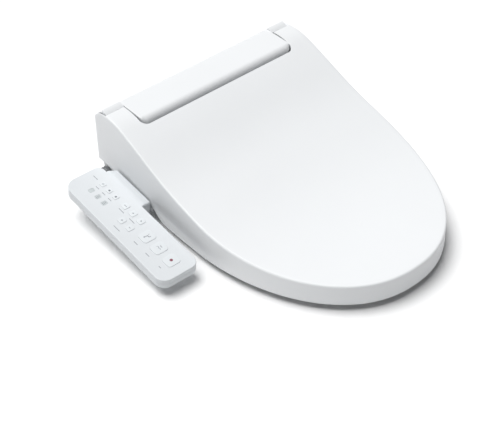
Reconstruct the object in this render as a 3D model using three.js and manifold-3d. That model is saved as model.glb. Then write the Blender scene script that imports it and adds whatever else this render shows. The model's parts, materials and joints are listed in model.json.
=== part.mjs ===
// An electric bidet seat: lid, seat ring, washing body and side control panel.
// Millimetres, +Z up, -Y towards the nose, +X right as seen from the nose.
// The origin is the middle of the line between the two fixing bolts, on the underside.
import * as THREE from 'three';
import { mergeVertices } from 'three/addons/utils/BufferGeometryUtils.js';
import Module from 'manifold-3d';

const wasm = await Module();
wasm.setup();

// ---------------------------------------------------------------- driving dimensions
const GAP = 0.3; // between pieces that touch

// lid: half-width at its widest line, how far forward that line and the nose are
const LID_HALF = 199;
const WIDEST = -201;
const NOSE = -470;
const REAR_NARROWING = 3.4; // on each side, at the bolt line
const LID_WALL = 3.4;
const LID_REAR = 52;
const SKIRT_FRONT = 13; // the lid's lower edge in front,
const SKIRT_REAR = 38.5; // and beside the body
const SKIRT_RAMP = [-122, -80]; // it climbs between these
const NOTCH_FRONT = -29; // the lid's edge in front of the top cover
const NOTCH_HALF = 158;
const EAR_REAR = 22;
// crest of the lid and of the cover behind it, as (y, z) from rear to nose
const CREST = [
  [56, 122], [44, 134.5], [22, 141], [0, 141], [-28, 133], [-60, 121], [-94, 107],
  [-141, 90], [-188, 77], [-235, 66], [-282, 58], [-330, 53], [-400, 50], [-472, 49.5],
];

// hinge line of the lid and the seat: one axis across the body
const HINGE_Y = 40;
const HINGE_Z = 115;
const PIN_R = 5.5;
const HUB_R = 11;
const RUN = 0.35; // running clearance on a radius
const SWEEP_R = 28.2; // the cover's wings stay inside this, clear of the lid's ears

// body
const BODY_HALF = 187;
const BODY_FRONT = -114;
const BODY_REAR = 56;
const BODY_CORNER = 10;
const TRAY_TOP = 33.7;
const SHOULDER_TOP = 36.4;
const COVER_HALF = 156;
const WING_HALF = 188.6;
const WALL = 3;
const PLATE_HALF = 95; // mounting plate
const PLATE_DEEP = 26;
const PLATE_THICK = 4.6;

// seat ring
const SEAT_INSET = 8; // inside the lid's outline
const SEAT_REAR = -118;
const SEAT_BOTTOM = 12.5;
const SEAT_WALL = 4;
const OPENING = { half: 108, long: 132, y: -285, power: 2.3 };
const ARM_IN = 163.5;
const ARM_OUT = 183.5;
const SEAT_CREST = [
  [-100, 50.5], [-150, 48.5], [-200, 46], [-260, 43.5], [-330, 42.5], [-400, 42.5], [-472, 43],
];

// wash nozzle: its port in the body's front wall, and how steeply it slides down
const PORT_Z = 6.5;
const NOZZLE_TILT = THREE.MathUtils.degToRad(30);
const NOZZLE_R = 5.5;
const NOZZLE_LONG = 126;
const TIP_LONG = 14;

// control panel, in its own frame: x to the inner edge, y to the rear, z = 0 on its top face
const PANEL = { x: -256, y: -114, z: 47, yaw: -0.9, pitch: 6.15 };
const PANEL_WIDE = 71;
const PANEL_LONG = 255;
const PANEL_THICK = 17;
const PANEL_SPLIT = 8; // height of its upper cover
const PANEL_WALL = 2.4;
const ARM_FRONT = 16; // its arm, along the panel,
const ARM_BACK = 112;
const ARM_TOP = -0.6; // level with the top face,
const ARM_BROW = 54; // and as far across as the lid's side
const KEY_PROUD = 0.6;
const KEY_DEEP = 5.6;

// ---------------------------------------------------------------- materials
const finish = (color, roughness, metalness = 0) => (
  () => new THREE.MeshStandardMaterial({ color, roughness, metalness })
);
const gloss = finish(0xf4f6f8, 0.18);
const casing = finish(0xe6e8ea, 0.35);
const panelWhite = finish(0xe9edf2, 0.3);
const keyWhite = finish(0xf0f3f7, 0.32);
const grey = finish(0x8c9094, 0.5);
const dark = finish(0x33373b, 0.55);
const rubber = finish(0xd0d2d4, 0.8);
const steel = finish(0xb9bdc1, 0.3, 1);
const brass = finish(0xc7a35a, 0.35, 1);
const boardGreen = finish(0x1f6b3a, 0.6);
const foil = finish(0xc98a4a, 0.4, 0.6);
const lens = finish(0xbfe3c6, 0.2);

// ---------------------------------------------------------------- solids
// A closed three.js geometry as a manifold, with its shared corners merged.
function solid(geometry) {
  const bare = geometry.clone();
  bare.deleteAttribute('normal');
  bare.deleteAttribute('uv');
  const merged = mergeVertices(bare, 1e-4);
  return new wasm.Manifold(new wasm.Mesh({
    numProp: 3,
    vertProperties: new Float32Array(merged.attributes.position.array),
    triVerts: new Uint32Array(merged.index.array),
  }));
}

function toGeometry(manifold) {
  const { vertProperties, triVerts } = manifold.getMesh();
  const geometry = new THREE.BufferGeometry();
  geometry.setAttribute('position', new THREE.BufferAttribute(new Float32Array(vertProperties), 3));
  geometry.setIndex(new THREE.BufferAttribute(new Uint32Array(triVerts), 1));
  geometry.computeVertexNormals();
  return geometry;
}

const shapeOf = (points) => new THREE.Shape(points.map(([x, y]) => new THREE.Vector2(x, y)));

// A plan outline, from height low to high.
function slab(shape, low, high, curveSegments = 6) {
  const options = { depth: high - low, bevelEnabled: false, curveSegments };
  return solid(new THREE.ExtrudeGeometry(shape, options).translate(0, 0, low));
}

// An outline in (y, z), carried from x = left to x = right.
function across(points, left, right) {
  const options = { depth: right - left, bevelEnabled: false };
  const geometry = new THREE.ExtrudeGeometry(shapeOf(points), options);
  const turn = new THREE.Matrix4().makeBasis(
    new THREE.Vector3(0, 1, 0), new THREE.Vector3(0, 0, 1), new THREE.Vector3(1, 0, 0));
  return solid(geometry.applyMatrix4(turn).translate(left, 0, 0));
}

function box(x0, x1, y0, y1, z0, z1) {
  const geometry = new THREE.BoxGeometry(x1 - x0, y1 - y0, z1 - z0);
  return solid(geometry.translate((x0 + x1) / 2, (y0 + y1) / 2, (z0 + z1) / 2));
}

// A rectangle with its own radius at each corner, from the lower right one round.
function roundedRect(width, height, radii, x = 0, y = 0) {
  const shape = new THREE.Shape();
  const [p, q, r, s] = Array.isArray(radii) ? radii : [radii, radii, radii, radii];
  const [a, b] = [width / 2, height / 2];
  const quarter = Math.PI / 2;
  shape.absarc(x + a - p, y - b + p, p, -quarter, 0);
  shape.absarc(x + a - q, y + b - q, q, 0, quarter);
  shape.absarc(x - a + r, y + b - r, r, quarter, 2 * quarter);
  shape.absarc(x - a + s, y - b + s, s, 2 * quarter, 3 * quarter);
  return shape;
}

// Round bars along x, y and z.
function rodX(radius, x0, x1, y, z, sides = 24) {
  const geometry = new THREE.CylinderGeometry(radius, radius, x1 - x0, sides);
  return solid(geometry.rotateZ(Math.PI / 2).translate((x0 + x1) / 2, y, z));
}

function rodY(radius, y0, y1, x, z, sides = 24) {
  const geometry = new THREE.CylinderGeometry(radius, radius, y1 - y0, sides);
  return solid(geometry.translate(x, (y0 + y1) / 2, z));
}

function rodZ(radius, z0, z1, x, y, sides = 24) {
  const geometry = new THREE.CylinderGeometry(radius, radius, z1 - z0, sides);
  return solid(geometry.rotateX(Math.PI / 2).translate(x, y, (z0 + z1) / 2));
}

// A block between two four-cornered ends, each listed anticlockwise seen from outside end b.
function block(a, b) {
  const corners = new Float32Array([...a, ...b].flat());
  const faces = [0, 2, 1, 0, 3, 2, 4, 5, 6, 4, 6, 7];
  for (let i = 0; i < 4; i += 1) {
    const j = (i + 1) % 4;
    faces.push(i, j, 4 + j, i, 4 + j, 4 + i);
  }
  const geometry = new THREE.BufferGeometry();
  geometry.setAttribute('position', new THREE.BufferAttribute(corners, 3));
  geometry.setIndex(faces);
  return solid(geometry);
}

const joined = (...parts) => parts.reduce((whole, part) => whole.add(part));

// ---------------------------------------------------------------- outlines
// A crest lowered by drop, as (y, z) points from the rear to the nose.
function crest(points, drop = 0, steps = 40) {
  const curve = new THREE.CatmullRomCurve3(
    points.map(([y, z]) => new THREE.Vector3(0, y, z)), false, 'centripetal');
  return curve.getPoints(steps).map((p) => [p.y, p.z - drop]);
}

// Half-width of the lid at y, drawn in by inset. Behind the widest line it narrows with the
// square of the distance; in front of it the plan is half of a superellipse.
function lidHalf(y, inset) {
  const half = LID_HALF - inset;
  if (y >= WIDEST) return half - REAR_NARROWING * ((y - WIDEST) / WIDEST) ** 2;
  const along = Math.min(1, (WIDEST - y) / (WIDEST - NOSE - inset));
  return half * (1 - along ** 1.95) ** (1 / 2.17);
}

// The lid's plan from y = rear to the nose, drawn in by inset.
function lidPlan(inset, rear, frontSteps = 20) {
  const stations = [];
  for (let i = 0; i < 4; i += 1) stations.push(rear + (WIDEST - rear) * i / 4);
  for (let i = 0; i < frontSteps; i += 1) {
    stations.push(WIDEST - (WIDEST - NOSE - inset) * Math.sin(Math.PI / 2 * i / frontSteps));
  }
  const left = stations.map((y) => [-lidHalf(y, inset), y]);
  const right = stations.map((y) => [lidHalf(y, inset), y]).reverse();
  return shapeOf([...left, [0, NOSE + inset], ...right]);
}

// The seat's opening, a superellipse grown by grow.
function openingPlan(grow, steps = 40) {
  const points = [];
  for (let i = 0; i < steps; i += 1) {
    const turn = 2 * Math.PI * i / steps;
    const [c, s] = [Math.cos(turn), Math.sin(turn)];
    const x = (OPENING.half + grow) * Math.sign(c) * Math.abs(c) ** (2 / OPENING.power);
    const y = (OPENING.long + grow) * Math.sign(s) * Math.abs(s) ** (2 / OPENING.power);
    points.push([x, OPENING.y + y]);
  }
  return shapeOf(points);
}

// ---------------------------------------------------------------- scene graph
const bidetSeat = new THREE.Group();

function place(group, name, material, manifold) {
  const mesh = new THREE.Mesh(toGeometry(manifold), material());
  mesh.name = name;
  group.add(mesh);
  return mesh;
}

const put = (name, material, manifold) => place(bidetSeat, name, material, manifold);
const SIDES = [['left', -1], ['right', 1]];

// x limits on one side of the middle, in rising order
const sideways = (side, inner, outer) => (side > 0 ? [inner, outer] : [-outer, -inner]);

// ---------------------------------------------------------------- lid
// The space under the crest within the lid's plan; the walls are what is left of it when the
// same space, drawn in and lowered, is taken away.
function lidBlank(inset) {
  const drop = inset;
  const low = inset > 0 ? -5 : SKIRT_FRONT;
  const rear = inset > 0 ? LID_REAR + 10 : LID_REAR;
  const [rampFoot, rampHead] = SKIRT_RAMP;
  const skirt = inset > 0
    ? [[NOSE - 10, low], [rear, low]]
    : [[NOSE - 10, low], [rampFoot, low], [rampHead, SKIRT_REAR], [BODY_REAR, SKIRT_REAR]];
  const profile = [...skirt, ...crest(CREST, drop)];
  return slab(lidPlan(inset, rear), -6, 160).intersect(across(profile, -220, 220));
}

function lidShell() {
  let shell = lidBlank(0).subtract(lidBlank(LID_WALL));
  shell = shell.subtract(box(-NOTCH_HALF, NOTCH_HALF, NOTCH_FRONT, 80, 0, 160));
  const inside = slab(lidPlan(LID_WALL, LID_REAR + 10), -6, 160);
  shell = shell.subtract(inside.intersect(box(-220, 220, EAR_REAR, 80, 0, 160)));
  for (const [, side] of SIDES) {
    const [x0, x1] = sideways(side, ARM_OUT + 1.5, lidHalf(HINGE_Y, LID_WALL) + 1);
    const [b0, b1] = sideways(side, ARM_OUT, lidHalf(HINGE_Y, LID_WALL) - 1.5);
    shell = shell.add(rodX(HUB_R, x0, x1, HINGE_Y, HINGE_Z));
    shell = shell.subtract(rodX(PIN_R + RUN, b0, b1, HINGE_Y, HINGE_Z));
  }
  return shell;
}

put('lid', gloss, lidShell());
for (const [word, side] of SIDES) {
  const pad = roundedRect(16, 30, 6, side * 100, -400);
  put(`lid_bumper_${word}`, rubber, slab(pad, 43, 46.2));
}

// ---------------------------------------------------------------- seat
const belowSeatCrest = (drop, low) => across(
  [[NOSE - 10, low], [-100, low], ...crest(SEAT_CREST, drop, 24)], -220, 220);
const behindSeat = (y) => box(-220, 220, y, 80, -10, 200);

// Swan-necked arm from the ring up to the hinge, in (y, z).
const ARM_UPPER = [[HINGE_Y - 11, 116], [19, 78], [8, 66], [-28, 58], [-118, 52], [-136, 49]];
const ARM_LOWER = [[-136, 33], [-118, 38], [-28, 43], [14, 50], [30, 66], [HINGE_Y + 6, 105.8]];

function seatTop() {
  const plan = slab(lidPlan(SEAT_INSET, -60), SEAT_BOTTOM, 70);
  let ring = plan.intersect(belowSeatCrest(0, 0));
  let hollow = slab(lidPlan(SEAT_INSET + SEAT_WALL, -60), 0, 70).intersect(belowSeatCrest(SEAT_WALL, -5));
  hollow = hollow.subtract(slab(openingPlan(SEAT_WALL), -10, 80));
  hollow = hollow.subtract(behindSeat(SEAT_REAR - SEAT_WALL));
  ring = ring.subtract(hollow).subtract(slab(openingPlan(0), -10, 80)).subtract(behindSeat(SEAT_REAR));
  for (const [, side] of SIDES) {
    const [x0, x1] = sideways(side, ARM_IN, ARM_OUT);
    ring = ring.add(across([...ARM_UPPER, ...ARM_LOWER], x0, x1));
    ring = ring.add(rodX(HUB_R, x0, x1, HINGE_Y, HINGE_Z));
    ring = ring.subtract(rodX(PIN_R + RUN, x0 - 1, x1 + 1, HINGE_Y, HINGE_Z));
  }
  return ring;
}

// Flat plate or sheet that lies inside the ring's hollow.
function ringSheet(rim, low, high) {
  const sheet = slab(lidPlan(SEAT_INSET + SEAT_WALL + rim, -60), low, high);
  return sheet.subtract(slab(openingPlan(SEAT_WALL + rim), -10, 80))
    .subtract(behindSeat(SEAT_REAR - SEAT_WALL - rim));
}

function seatHeater() {
  const sheet = ringSheet(8, 10, 70).intersect(belowSeatCrest(SEAT_WALL + GAP, -5));
  return sheet.subtract(belowSeatCrest(SEAT_WALL + GAP + 0.6, -5)).subtract(behindSeat(-142));
}

put('seat_top', gloss, seatTop());
put('seat_bottom', casing, ringSheet(GAP, SEAT_BOTTOM, SEAT_BOTTOM + 3.5));
put('seat_heater', foil, seatHeater());
const SEAT_BUMPERS = [[-150, -212, 32], [150, -212, 32], [-62, -438, 12], [62, -438, 12]];
SEAT_BUMPERS.forEach(([x, y, long], i) => {
  const pad = roundedRect(14, long, 5, x, y);
  put(`seat_bumper_${i + 1}`, rubber, slab(pad, 0, SEAT_BOTTOM - GAP));
});

// ---------------------------------------------------------------- body shells
const bodyPlan = (inset) => roundedRect(
  2 * (BODY_HALF - inset), BODY_REAR - BODY_FRONT - 2 * inset, BODY_CORNER - inset,
  0, (BODY_REAR + BODY_FRONT) / 2);

// A round bar along the nozzle's line, between two distances behind the port.
function alongNozzle(manifold) {
  return manifold.rotate([THREE.MathUtils.radToDeg(NOZZLE_TILT), 0, 0])
    .translate([0, BODY_FRONT, PORT_Z]);
}

const INLET = { y: 36, z: 17, r: 8.5 };
const DRAIN = { y: -97, z: 16, r: 7.5 };
const GLAND = { y: 34, z: 15, r: 6.5 };
const FILTER = { y0: -74, y1: -24, z0: 8, z1: 29 };

function baseCase() {
  let tray = slab(bodyPlan(0), 0, TRAY_TOP).subtract(slab(bodyPlan(WALL), WALL, 60));
  tray = tray.add(box(-PLATE_HALF - 5, PLATE_HALF + 5, -PLATE_DEEP - 5, PLATE_DEEP + 5, 0, 8));
  tray = tray.subtract(box(
    -PLATE_HALF - GAP, PLATE_HALF + GAP, -PLATE_DEEP - GAP, PLATE_DEEP + GAP, -1, PLATE_THICK + GAP));
  tray = tray.subtract(alongNozzle(rodY(NOZZLE_R + 1.2, -12, 20, 0, 0)));
  const cut = (r, y, z, side) => rodX(r + GAP, ...sideways(side, BODY_HALF - 8, BODY_HALF + 5), y, z);
  tray = tray.subtract(cut(INLET.r, INLET.y, INLET.z, -1));
  tray = tray.subtract(cut(DRAIN.r, DRAIN.y, DRAIN.z, -1));
  tray = tray.subtract(cut(GLAND.r, GLAND.y, GLAND.z, 1));
  return tray.subtract(box(
    BODY_HALF - 8, BODY_HALF + 5, FILTER.y0 - GAP, FILTER.y1 + GAP, FILTER.z0 - GAP, FILTER.z1 + GAP));
}

// The cover's nose: it stands proud of the lid in front, then slopes down under the lid.
const COVER_NOSE = [
  [-12, 141], [-19, 139.9], [-22.8, 137.2], [-24.4, 133.5], [-25.6, 126], [-26, 121.5],
  [-34, 116], [-104, 60], [-110.5, 55], [BODY_FRONT, 48], [BODY_FRONT, 34],
];
const COVER_NOSE_INSIDE = [
  [-11, 138], [-17.5, 137], [-20.3, 134.8], [-21.5, 131.5], [-22.6, 125.5], [-23, 120.2],
  [-33, 112.6], [-102, 57.3], [-108, 52.8], [BODY_FRONT + WALL, 47], [BODY_FRONT + WALL, 30],
];
const REAR_CREST = CREST.slice(0, 4);
const INSIDE_CORNER = 121; // height where the rear wall's inner face meets the roof

function topCover() {
  let cover = across(
    [[BODY_REAR, 34], ...crest(REAR_CREST, 0, 12), ...COVER_NOSE].reverse(), -COVER_HALF, COVER_HALF);
  const inner = COVER_HALF - WALL;
  const hollow = [
    [BODY_REAR - WALL, 30], [BODY_REAR - WALL, INSIDE_CORNER],
    ...crest(REAR_CREST, WALL, 12).filter(([y]) => y < BODY_REAR - WALL),
    ...COVER_NOSE_INSIDE,
  ];
  cover = cover.add(slab(bodyPlan(0), TRAY_TOP + GAP, SHOULDER_TOP));
  for (const [, side] of SIDES) cover = cover.add(coverWing(side));
  return cover.subtract(across(hollow.reverse(), -inner, inner));
}

// Rear part of the cover beside the middle: a roof and a rear wall over the hinge.
function coverWing(side) {
  const [x0, x1] = sideways(side, COVER_HALF - 2, WING_HALF);
  const roof = crest(REAR_CREST, 0, 12).filter(([y]) => y > EAR_REAR + 2.6);
  const outer = [[BODY_REAR, 34.5], ...roof, [EAR_REAR + 2.6, 34.5]];
  const under = crest(REAR_CREST, WALL, 12).filter(([y]) => y > 34 && y < BODY_REAR - WALL);
  const inner = [
    [BODY_REAR - WALL, 30], [BODY_REAR - WALL, INSIDE_CORNER], ...under, [32, 134.6], [0, 134.6], [0, 30],
  ];
  const wide = [x0 - 3, x1 + 3];
  const corner = box(...wide, 10, HINGE_Y, 100, 160)
    .subtract(rodX(SWEEP_R, x0 - 4, x1 + 4, HINGE_Y, HINGE_Z, 96));
  return across(outer.reverse(), x0, x1).subtract(across(inner.reverse(), ...wide)).subtract(corner);
}

put('base_case', casing, baseCase());
put('top_cover', gloss, topCover());

// ---------------------------------------------------------------- mounting plate
// Slides under the body; two long slots take the toilet's fixing bolts, 140 mm apart.
function mountingPlate() {
  let plate = box(-PLATE_HALF, PLATE_HALF, -PLATE_DEEP, PLATE_DEEP, 0, PLATE_THICK);
  for (const [, side] of SIDES) {
    plate = plate.subtract(slab(roundedRect(34, 12, 6, side * 70, 0), -1, 10));
  }
  return plate;
}
put('mounting_plate', steel, mountingPlate());
const SCREWS = [[-165, -95], [165, -95], [-112, 42], [112, 42]];
SCREWS.forEach(([x, y], i) => {
  const screw = rodZ(2, WALL + GAP + 2, 26, x, y, 12).add(rodZ(4.5, WALL + GAP, WALL + GAP + 2.4, x, y, 16));
  put(`case_screw_${i + 1}`, steel, screw);
});

// ---------------------------------------------------------------- hinge
for (const [word, side] of SIDES) {
  const cheek = sideways(side, COVER_HALF + GAP, COVER_HALF + 6);
  const bracket = across(
    [[26, SHOULDER_TOP + GAP], [BODY_REAR - WALL - GAP, SHOULDER_TOP + GAP],
      [BODY_REAR - WALL - GAP, 118], [46, 127], [32, 127], [26, 118]], ...cheek);
  const bore = rodX(PIN_R + GAP, cheek[0] - 1, cheek[1] + 1, HINGE_Y, HINGE_Z);
  put(`hinge_bracket_${word}`, casing, bracket.subtract(bore));
  const pin = rodX(PIN_R, ...sideways(side, COVER_HALF + GAP, 188.5), HINGE_Y, HINGE_Z);
  put(`hinge_pin_${word}`, steel, pin);
  const damper = rodX(13, ...sideways(side, 96, COVER_HALF - WALL - GAP), HINGE_Y - 4, HINGE_Z - 3);
  put(`soft_close_damper_${word}`, grey, damper);
}

// ---------------------------------------------------------------- inside the body
put('water_heater', casing, slab(roundedRect(84, 62, 8, -100, -72), WALL + GAP, 44));
put('heater_plate', foil, slab(roundedRect(70, 48, 4, -100, -72), 44 + GAP, 48));
const valveBody = rodX(13, -176, -128, INLET.y, INLET.z)
  .add(box(-150, -132, 18, 54 - GAP, INLET.z - 10, INLET.z + 15));
put('inlet_valve', dark, valveBody.intersect(box(-200, 0, 0, 52.6, WALL + GAP, 33)));

// Hose tail with round ribs, pointing out of the body's side.
function inletConnector() {
  const [inner, outer, ribs] = [177, 214, 5];
  const profile = [[0, inner], [INLET.r, inner], [INLET.r, BODY_HALF + 2]];
  const pitch = (outer - BODY_HALF - 4) / ribs;
  for (let i = 0; i < ribs; i += 1) {
    const start = BODY_HALF + 2 + i * pitch;
    profile.push([INLET.r + 2, start], [INLET.r + 2, start + pitch * 0.55], [INLET.r, start + pitch * 0.55]);
    if (i < ribs - 1) profile.push([INLET.r, start + pitch]);
  }
  profile.push([INLET.r, outer], [5, outer], [5, outer - 14], [0, outer - 14]);
  const points = profile.map(([r, h]) => new THREE.Vector2(r, h));
  return solid(new THREE.LatheGeometry(points, 20).rotateZ(Math.PI / 2).translate(0, INLET.y, INLET.z));
}
put('inlet_connector', grey, inletConnector());
put('drain_plug', grey, rodX(DRAIN.r, -191, -176, DRAIN.y, DRAIN.z).add(
  rodX(DRAIN.r + 2.5, -192.5, -BODY_HALF - GAP, DRAIN.y, DRAIN.z)));
put('cord_gland', grey, rodX(GLAND.r, 176, 201, GLAND.y, GLAND.z).add(
  rodX(GLAND.r + 2.5, BODY_HALF + GAP, 190, GLAND.y, GLAND.z)).subtract(
  rodX(3.6, 170, 205, GLAND.y, GLAND.z, 16)));

put('circuit_board', boardGreen, box(46, 140, -92, -14, 46, 47.6));
put('power_module', dark, box(60, 108, -52, -20, 47.6 + GAP, 76));
put('deodoriser_fan', dark, slab(roundedRect(52, 52, 10, 100, -78), WALL + GAP, 20).subtract(
  rodZ(20, 10, 30, 100, -78)));
put('deodoriser_filter', grey, box(
  150, BODY_HALF + 0.4, FILTER.y0, FILTER.y1, FILTER.z0, FILTER.z1));

// A hose along a smooth curve.
function hose(points, radius, steps) {
  const path = new THREE.CatmullRomCurve3(points.map((p) => new THREE.Vector3(...p)));
  const section = new THREE.Shape().absarc(0, 0, radius, 0, 2 * Math.PI);
  const options = { steps, extrudePath: path, curveSegments: 5 };
  return solid(new THREE.ExtrudeGeometry(section, options));
}
put('heater_hose', grey, hose(
  [[-126.6, 34, 20], [-116, 32, 24], [-102, 0, 34], [-100, -20, 33], [-100, -39.8, 30]], 3.5, 14));

// ---------------------------------------------------------------- nozzle
const nozzleLine = new THREE.Group();
nozzleLine.position.set(0, BODY_FRONT, PORT_Z);
nozzleLine.rotation.x = NOZZLE_TILT;
bidetSeat.add(nozzleLine);
place(nozzleLine, 'nozzle', casing, rodY(NOZZLE_R, TIP_LONG + GAP, NOZZLE_LONG, 0, 0));
place(nozzleLine, 'nozzle_tip', steel, rodY(NOZZLE_R, 0.6, TIP_LONG, 0, 0));
const guide = box(-11, 11, 26, 118, -10, 3).subtract(rodY(NOZZLE_R + RUN, 20, 125, 0, 0))
  .subtract(box(-4, 4, 20, 125, 0, 8));
place(nozzleLine, 'nozzle_guide', dark, guide);
place(nozzleLine, 'nozzle_motor', steel, rodX(11, 11 + GAP, 38, 92, -2));

// ---------------------------------------------------------------- control panel
const panel = new THREE.Group();
panel.position.set(PANEL.x, PANEL.y, PANEL.z);
panel.rotation.order = 'ZYX';
panel.rotation.set(THREE.MathUtils.degToRad(PANEL.pitch), 0, THREE.MathUtils.degToRad(PANEL.yaw));
bidetSeat.add(panel);
panel.updateMatrixWorld(true);

const panelPlan = (inset) => roundedRect(
  PANEL_WIDE - 2 * inset, PANEL_LONG - 2 * inset, [15, 12, 21, 18].map((r) => r - inset));

// keys: name, place across and along the panel, size across and along, corner radius
const BIG = [23, 21, 4.8];
const SMALL = [12, 11.4, 2.8];
const TINY = [9, 9.4, 1.9];
const KEYS = [
  ['key_stop', 3.6, -98, ...BIG], ['key_rear_wash', 3.6, -67.6, ...BIG],
  ['key_front_wash', 3.6, -38.6, ...BIG],
  ['key_pressure_less', -7.2, -9, ...SMALL], ['key_pressure_more', -7.2, 10.6, ...SMALL],
  ['key_nozzle_back', 15, -8, ...SMALL], ['key_nozzle_forward', 15, 12, ...SMALL],
  ['key_move', 15, 31.6, ...SMALL],
  ['key_water_heat', 14.4, 56.2, ...TINY], ['key_seat_heat', 14.4, 73, ...TINY],
  ['key_power_save', 14.4, 90.2, ...TINY],
];
// level windows and the lamp window, flush with the top face
const WINDOWS = [
  ['water_level_window', -7.6, 56.2, 9.4, 7.6, 1.2], ['seat_level_window', -7.6, 73, 9.4, 7.6, 1.2],
  ['lamp_window', -7.6, 90.2, 9.4, 7.6, 1.2],
];
const keyPlan = ([, x, y, wide, long, r], grow = 0) => (
  roundedRect(wide + 2 * grow, long + 2 * grow, r + grow, x, y)
);

// The arm that carries the panel: level with its top as far as the lid, then in under the lid's
// skirt to the body's side wall.
function panelArm() {
  const inPanel = (x, y, z) => panel.localToWorld(new THREE.Vector3(x, y, z)).toArray();
  const edge = PANEL_WIDE / 2;
  const end = (x, front, low, high) => [
    inPanel(x, front, low), inPanel(x, ARM_BACK, low), inPanel(x, ARM_BACK, high), inPanel(x, front, high)];
  const inside = end(edge - 2, ARM_FRONT, 1 - PANEL_THICK, -PANEL_SPLIT - 1);
  const shoulder = end(edge + GAP, ARM_FRONT, 1 - PANEL_THICK, ARM_TOP);
  const brow = end(ARM_BROW, ARM_FRONT + 6, 1 - PANEL_THICK, ARM_TOP)
    .map(([x, y, z], i) => [x, y, i > 1 ? z : 16]);
  const wall = (x, low, high) => [[x, -79, low], [x, -4, low], [x, -4, high], [x, -79, high]];
  return joined(
    block(inside, shoulder.map(([x, y, z], i) => [x, y, i > 1 ? inside[i][2] : z])),
    block(shoulder, brow),
    block(wall(-204, 17, 36), wall(-BODY_HALF - GAP, 12, 35.4)));
}

function panelBase() {
  const tray = slab(panelPlan(0), -PANEL_THICK, -PANEL_SPLIT - GAP)
    .subtract(slab(panelPlan(PANEL_WALL), -PANEL_THICK + PANEL_WALL, 0));
  const inverse = panel.matrixWorld.clone().invert();
  return tray.add(panelArm().transform(inverse.toArray()));
}

function panelCover() {
  let cover = slab(panelPlan(0), -PANEL_SPLIT, 0)
    .subtract(slab(panelPlan(PANEL_WALL), -PANEL_SPLIT - 1, -PANEL_WALL));
  for (const hole of [...KEYS, ...WINDOWS]) cover = cover.subtract(slab(keyPlan(hole, 0.35), -20, 5, 3));
  return cover;
}

place(panel, 'panel_base', panelWhite, panelBase());
place(panel, 'panel_cover', panelWhite, panelCover());
place(panel, 'panel_board', boardGreen, slab(roundedRect(60, 238, 8), -10, -8.4));
for (const key of KEYS) place(panel, key[0], keyWhite, slab(keyPlan(key), -KEY_DEEP, KEY_PROUD, 3));
for (const window of WINDOWS) place(panel, window[0], lens, slab(keyPlan(window), -PANEL_WALL, -0.1, 3));

export default bidetSeat;
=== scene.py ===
"""Electric bidet seat: a curved lid over a ring seat, with a washing body and a key panel.

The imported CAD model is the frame. Each operator below makes one piece, or a group of like
pieces, as surfaces worked out on parameter grids, and rides it on its CAD body. Lengths are in
metres in the frame's own axes: -Y is the nose, +Z is up, and the panel is on the -X side.
"""
import json
import math

import bmesh
import bpy
import numpy as np
from mathutils import Matrix, Vector


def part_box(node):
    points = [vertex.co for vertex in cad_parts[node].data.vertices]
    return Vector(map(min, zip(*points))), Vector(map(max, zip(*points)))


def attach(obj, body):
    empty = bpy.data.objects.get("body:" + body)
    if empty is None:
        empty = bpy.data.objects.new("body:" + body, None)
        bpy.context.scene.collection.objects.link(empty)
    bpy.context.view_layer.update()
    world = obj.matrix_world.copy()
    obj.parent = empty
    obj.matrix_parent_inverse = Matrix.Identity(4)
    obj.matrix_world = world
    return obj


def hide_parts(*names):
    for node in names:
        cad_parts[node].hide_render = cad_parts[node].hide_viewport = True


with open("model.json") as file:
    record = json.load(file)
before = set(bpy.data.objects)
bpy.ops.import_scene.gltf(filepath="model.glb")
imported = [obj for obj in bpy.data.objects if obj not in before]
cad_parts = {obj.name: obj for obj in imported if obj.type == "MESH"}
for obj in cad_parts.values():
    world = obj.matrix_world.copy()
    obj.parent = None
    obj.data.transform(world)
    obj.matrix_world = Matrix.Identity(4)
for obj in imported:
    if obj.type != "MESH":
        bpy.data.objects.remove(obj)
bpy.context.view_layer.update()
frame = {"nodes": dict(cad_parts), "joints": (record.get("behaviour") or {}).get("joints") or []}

bl_info = {
    "name": "Electric Bidet Seat",
    "version": (1, 0, 0),
    "blender": (4, 5, 0),
    "location": "3D View > Sidebar > Bidet Seat",
    "description": "Builds the pieces and finishes of an electric bidet seat around its CAD frame",
    "category": "Add Mesh",
}

MM = 0.001

# The lid's outline comes from its CAD box; these give the rest of its shape.
LID_LOW, LID_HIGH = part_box("lid")
LID_HALF = LID_HIGH.x
NOSE = LID_LOW.y
LID_REAR = LID_HIGH.y
SKIRT_FRONT = LID_LOW.z
WIDEST = -201 * MM
REAR_NARROWING = 3.4 * MM
PLAN_POWERS = (1.95, 2.17)
NOSE_STEPS = 96
SKIRT_REAR = 38.5 * MM
SKIRT_RAMP = (-124 * MM, -78 * MM)
NOTCH_FRONT = -29.5 * MM
NOTCH_HALF = 158 * MM
EAR_REAR = 22 * MM
# height of the crest of the lid and cover at each y, from the nose to the rear wall
CREST = np.array([
    [-480, 49.5], [-400, 50], [-330, 53], [-282, 58], [-235, 66], [-188, 77], [-141, 90],
    [-94, 107], [-60, 121], [-28, 133], [-6, 139.6], [8, 141], [24, 140.6], [44, 134.5], [56, 122]]) * MM

COVER_LOW, COVER_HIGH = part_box("top_cover")
BODY_FRONT = COVER_LOW.y
BODY_REAR = COVER_HIGH.y
BODY_HALF = 187 * MM
BODY_CORNER = 10 * MM
# the wings reach a little further than the CAD's, towards the lid's ears
WING_HALF = COVER_HIGH.x + 1.6 * MM
COVER_HALF = 156 * MM
SHOULDER_TOP = 36.4 * MM
WING_FRONT = 24.6 * MM
SWEEP = 28.2 * MM
HINGE = Vector(next(j for j in frame["joints"] if j["name"] == "seat_hinge")["pos_m"])
PIN_RADIUS = 5.5 * MM
HINGE_BORE = PIN_RADIUS + 0.35 * MM
HUB_RADIUS = 11 * MM
BOSS_GAP = 1.5 * MM

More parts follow.
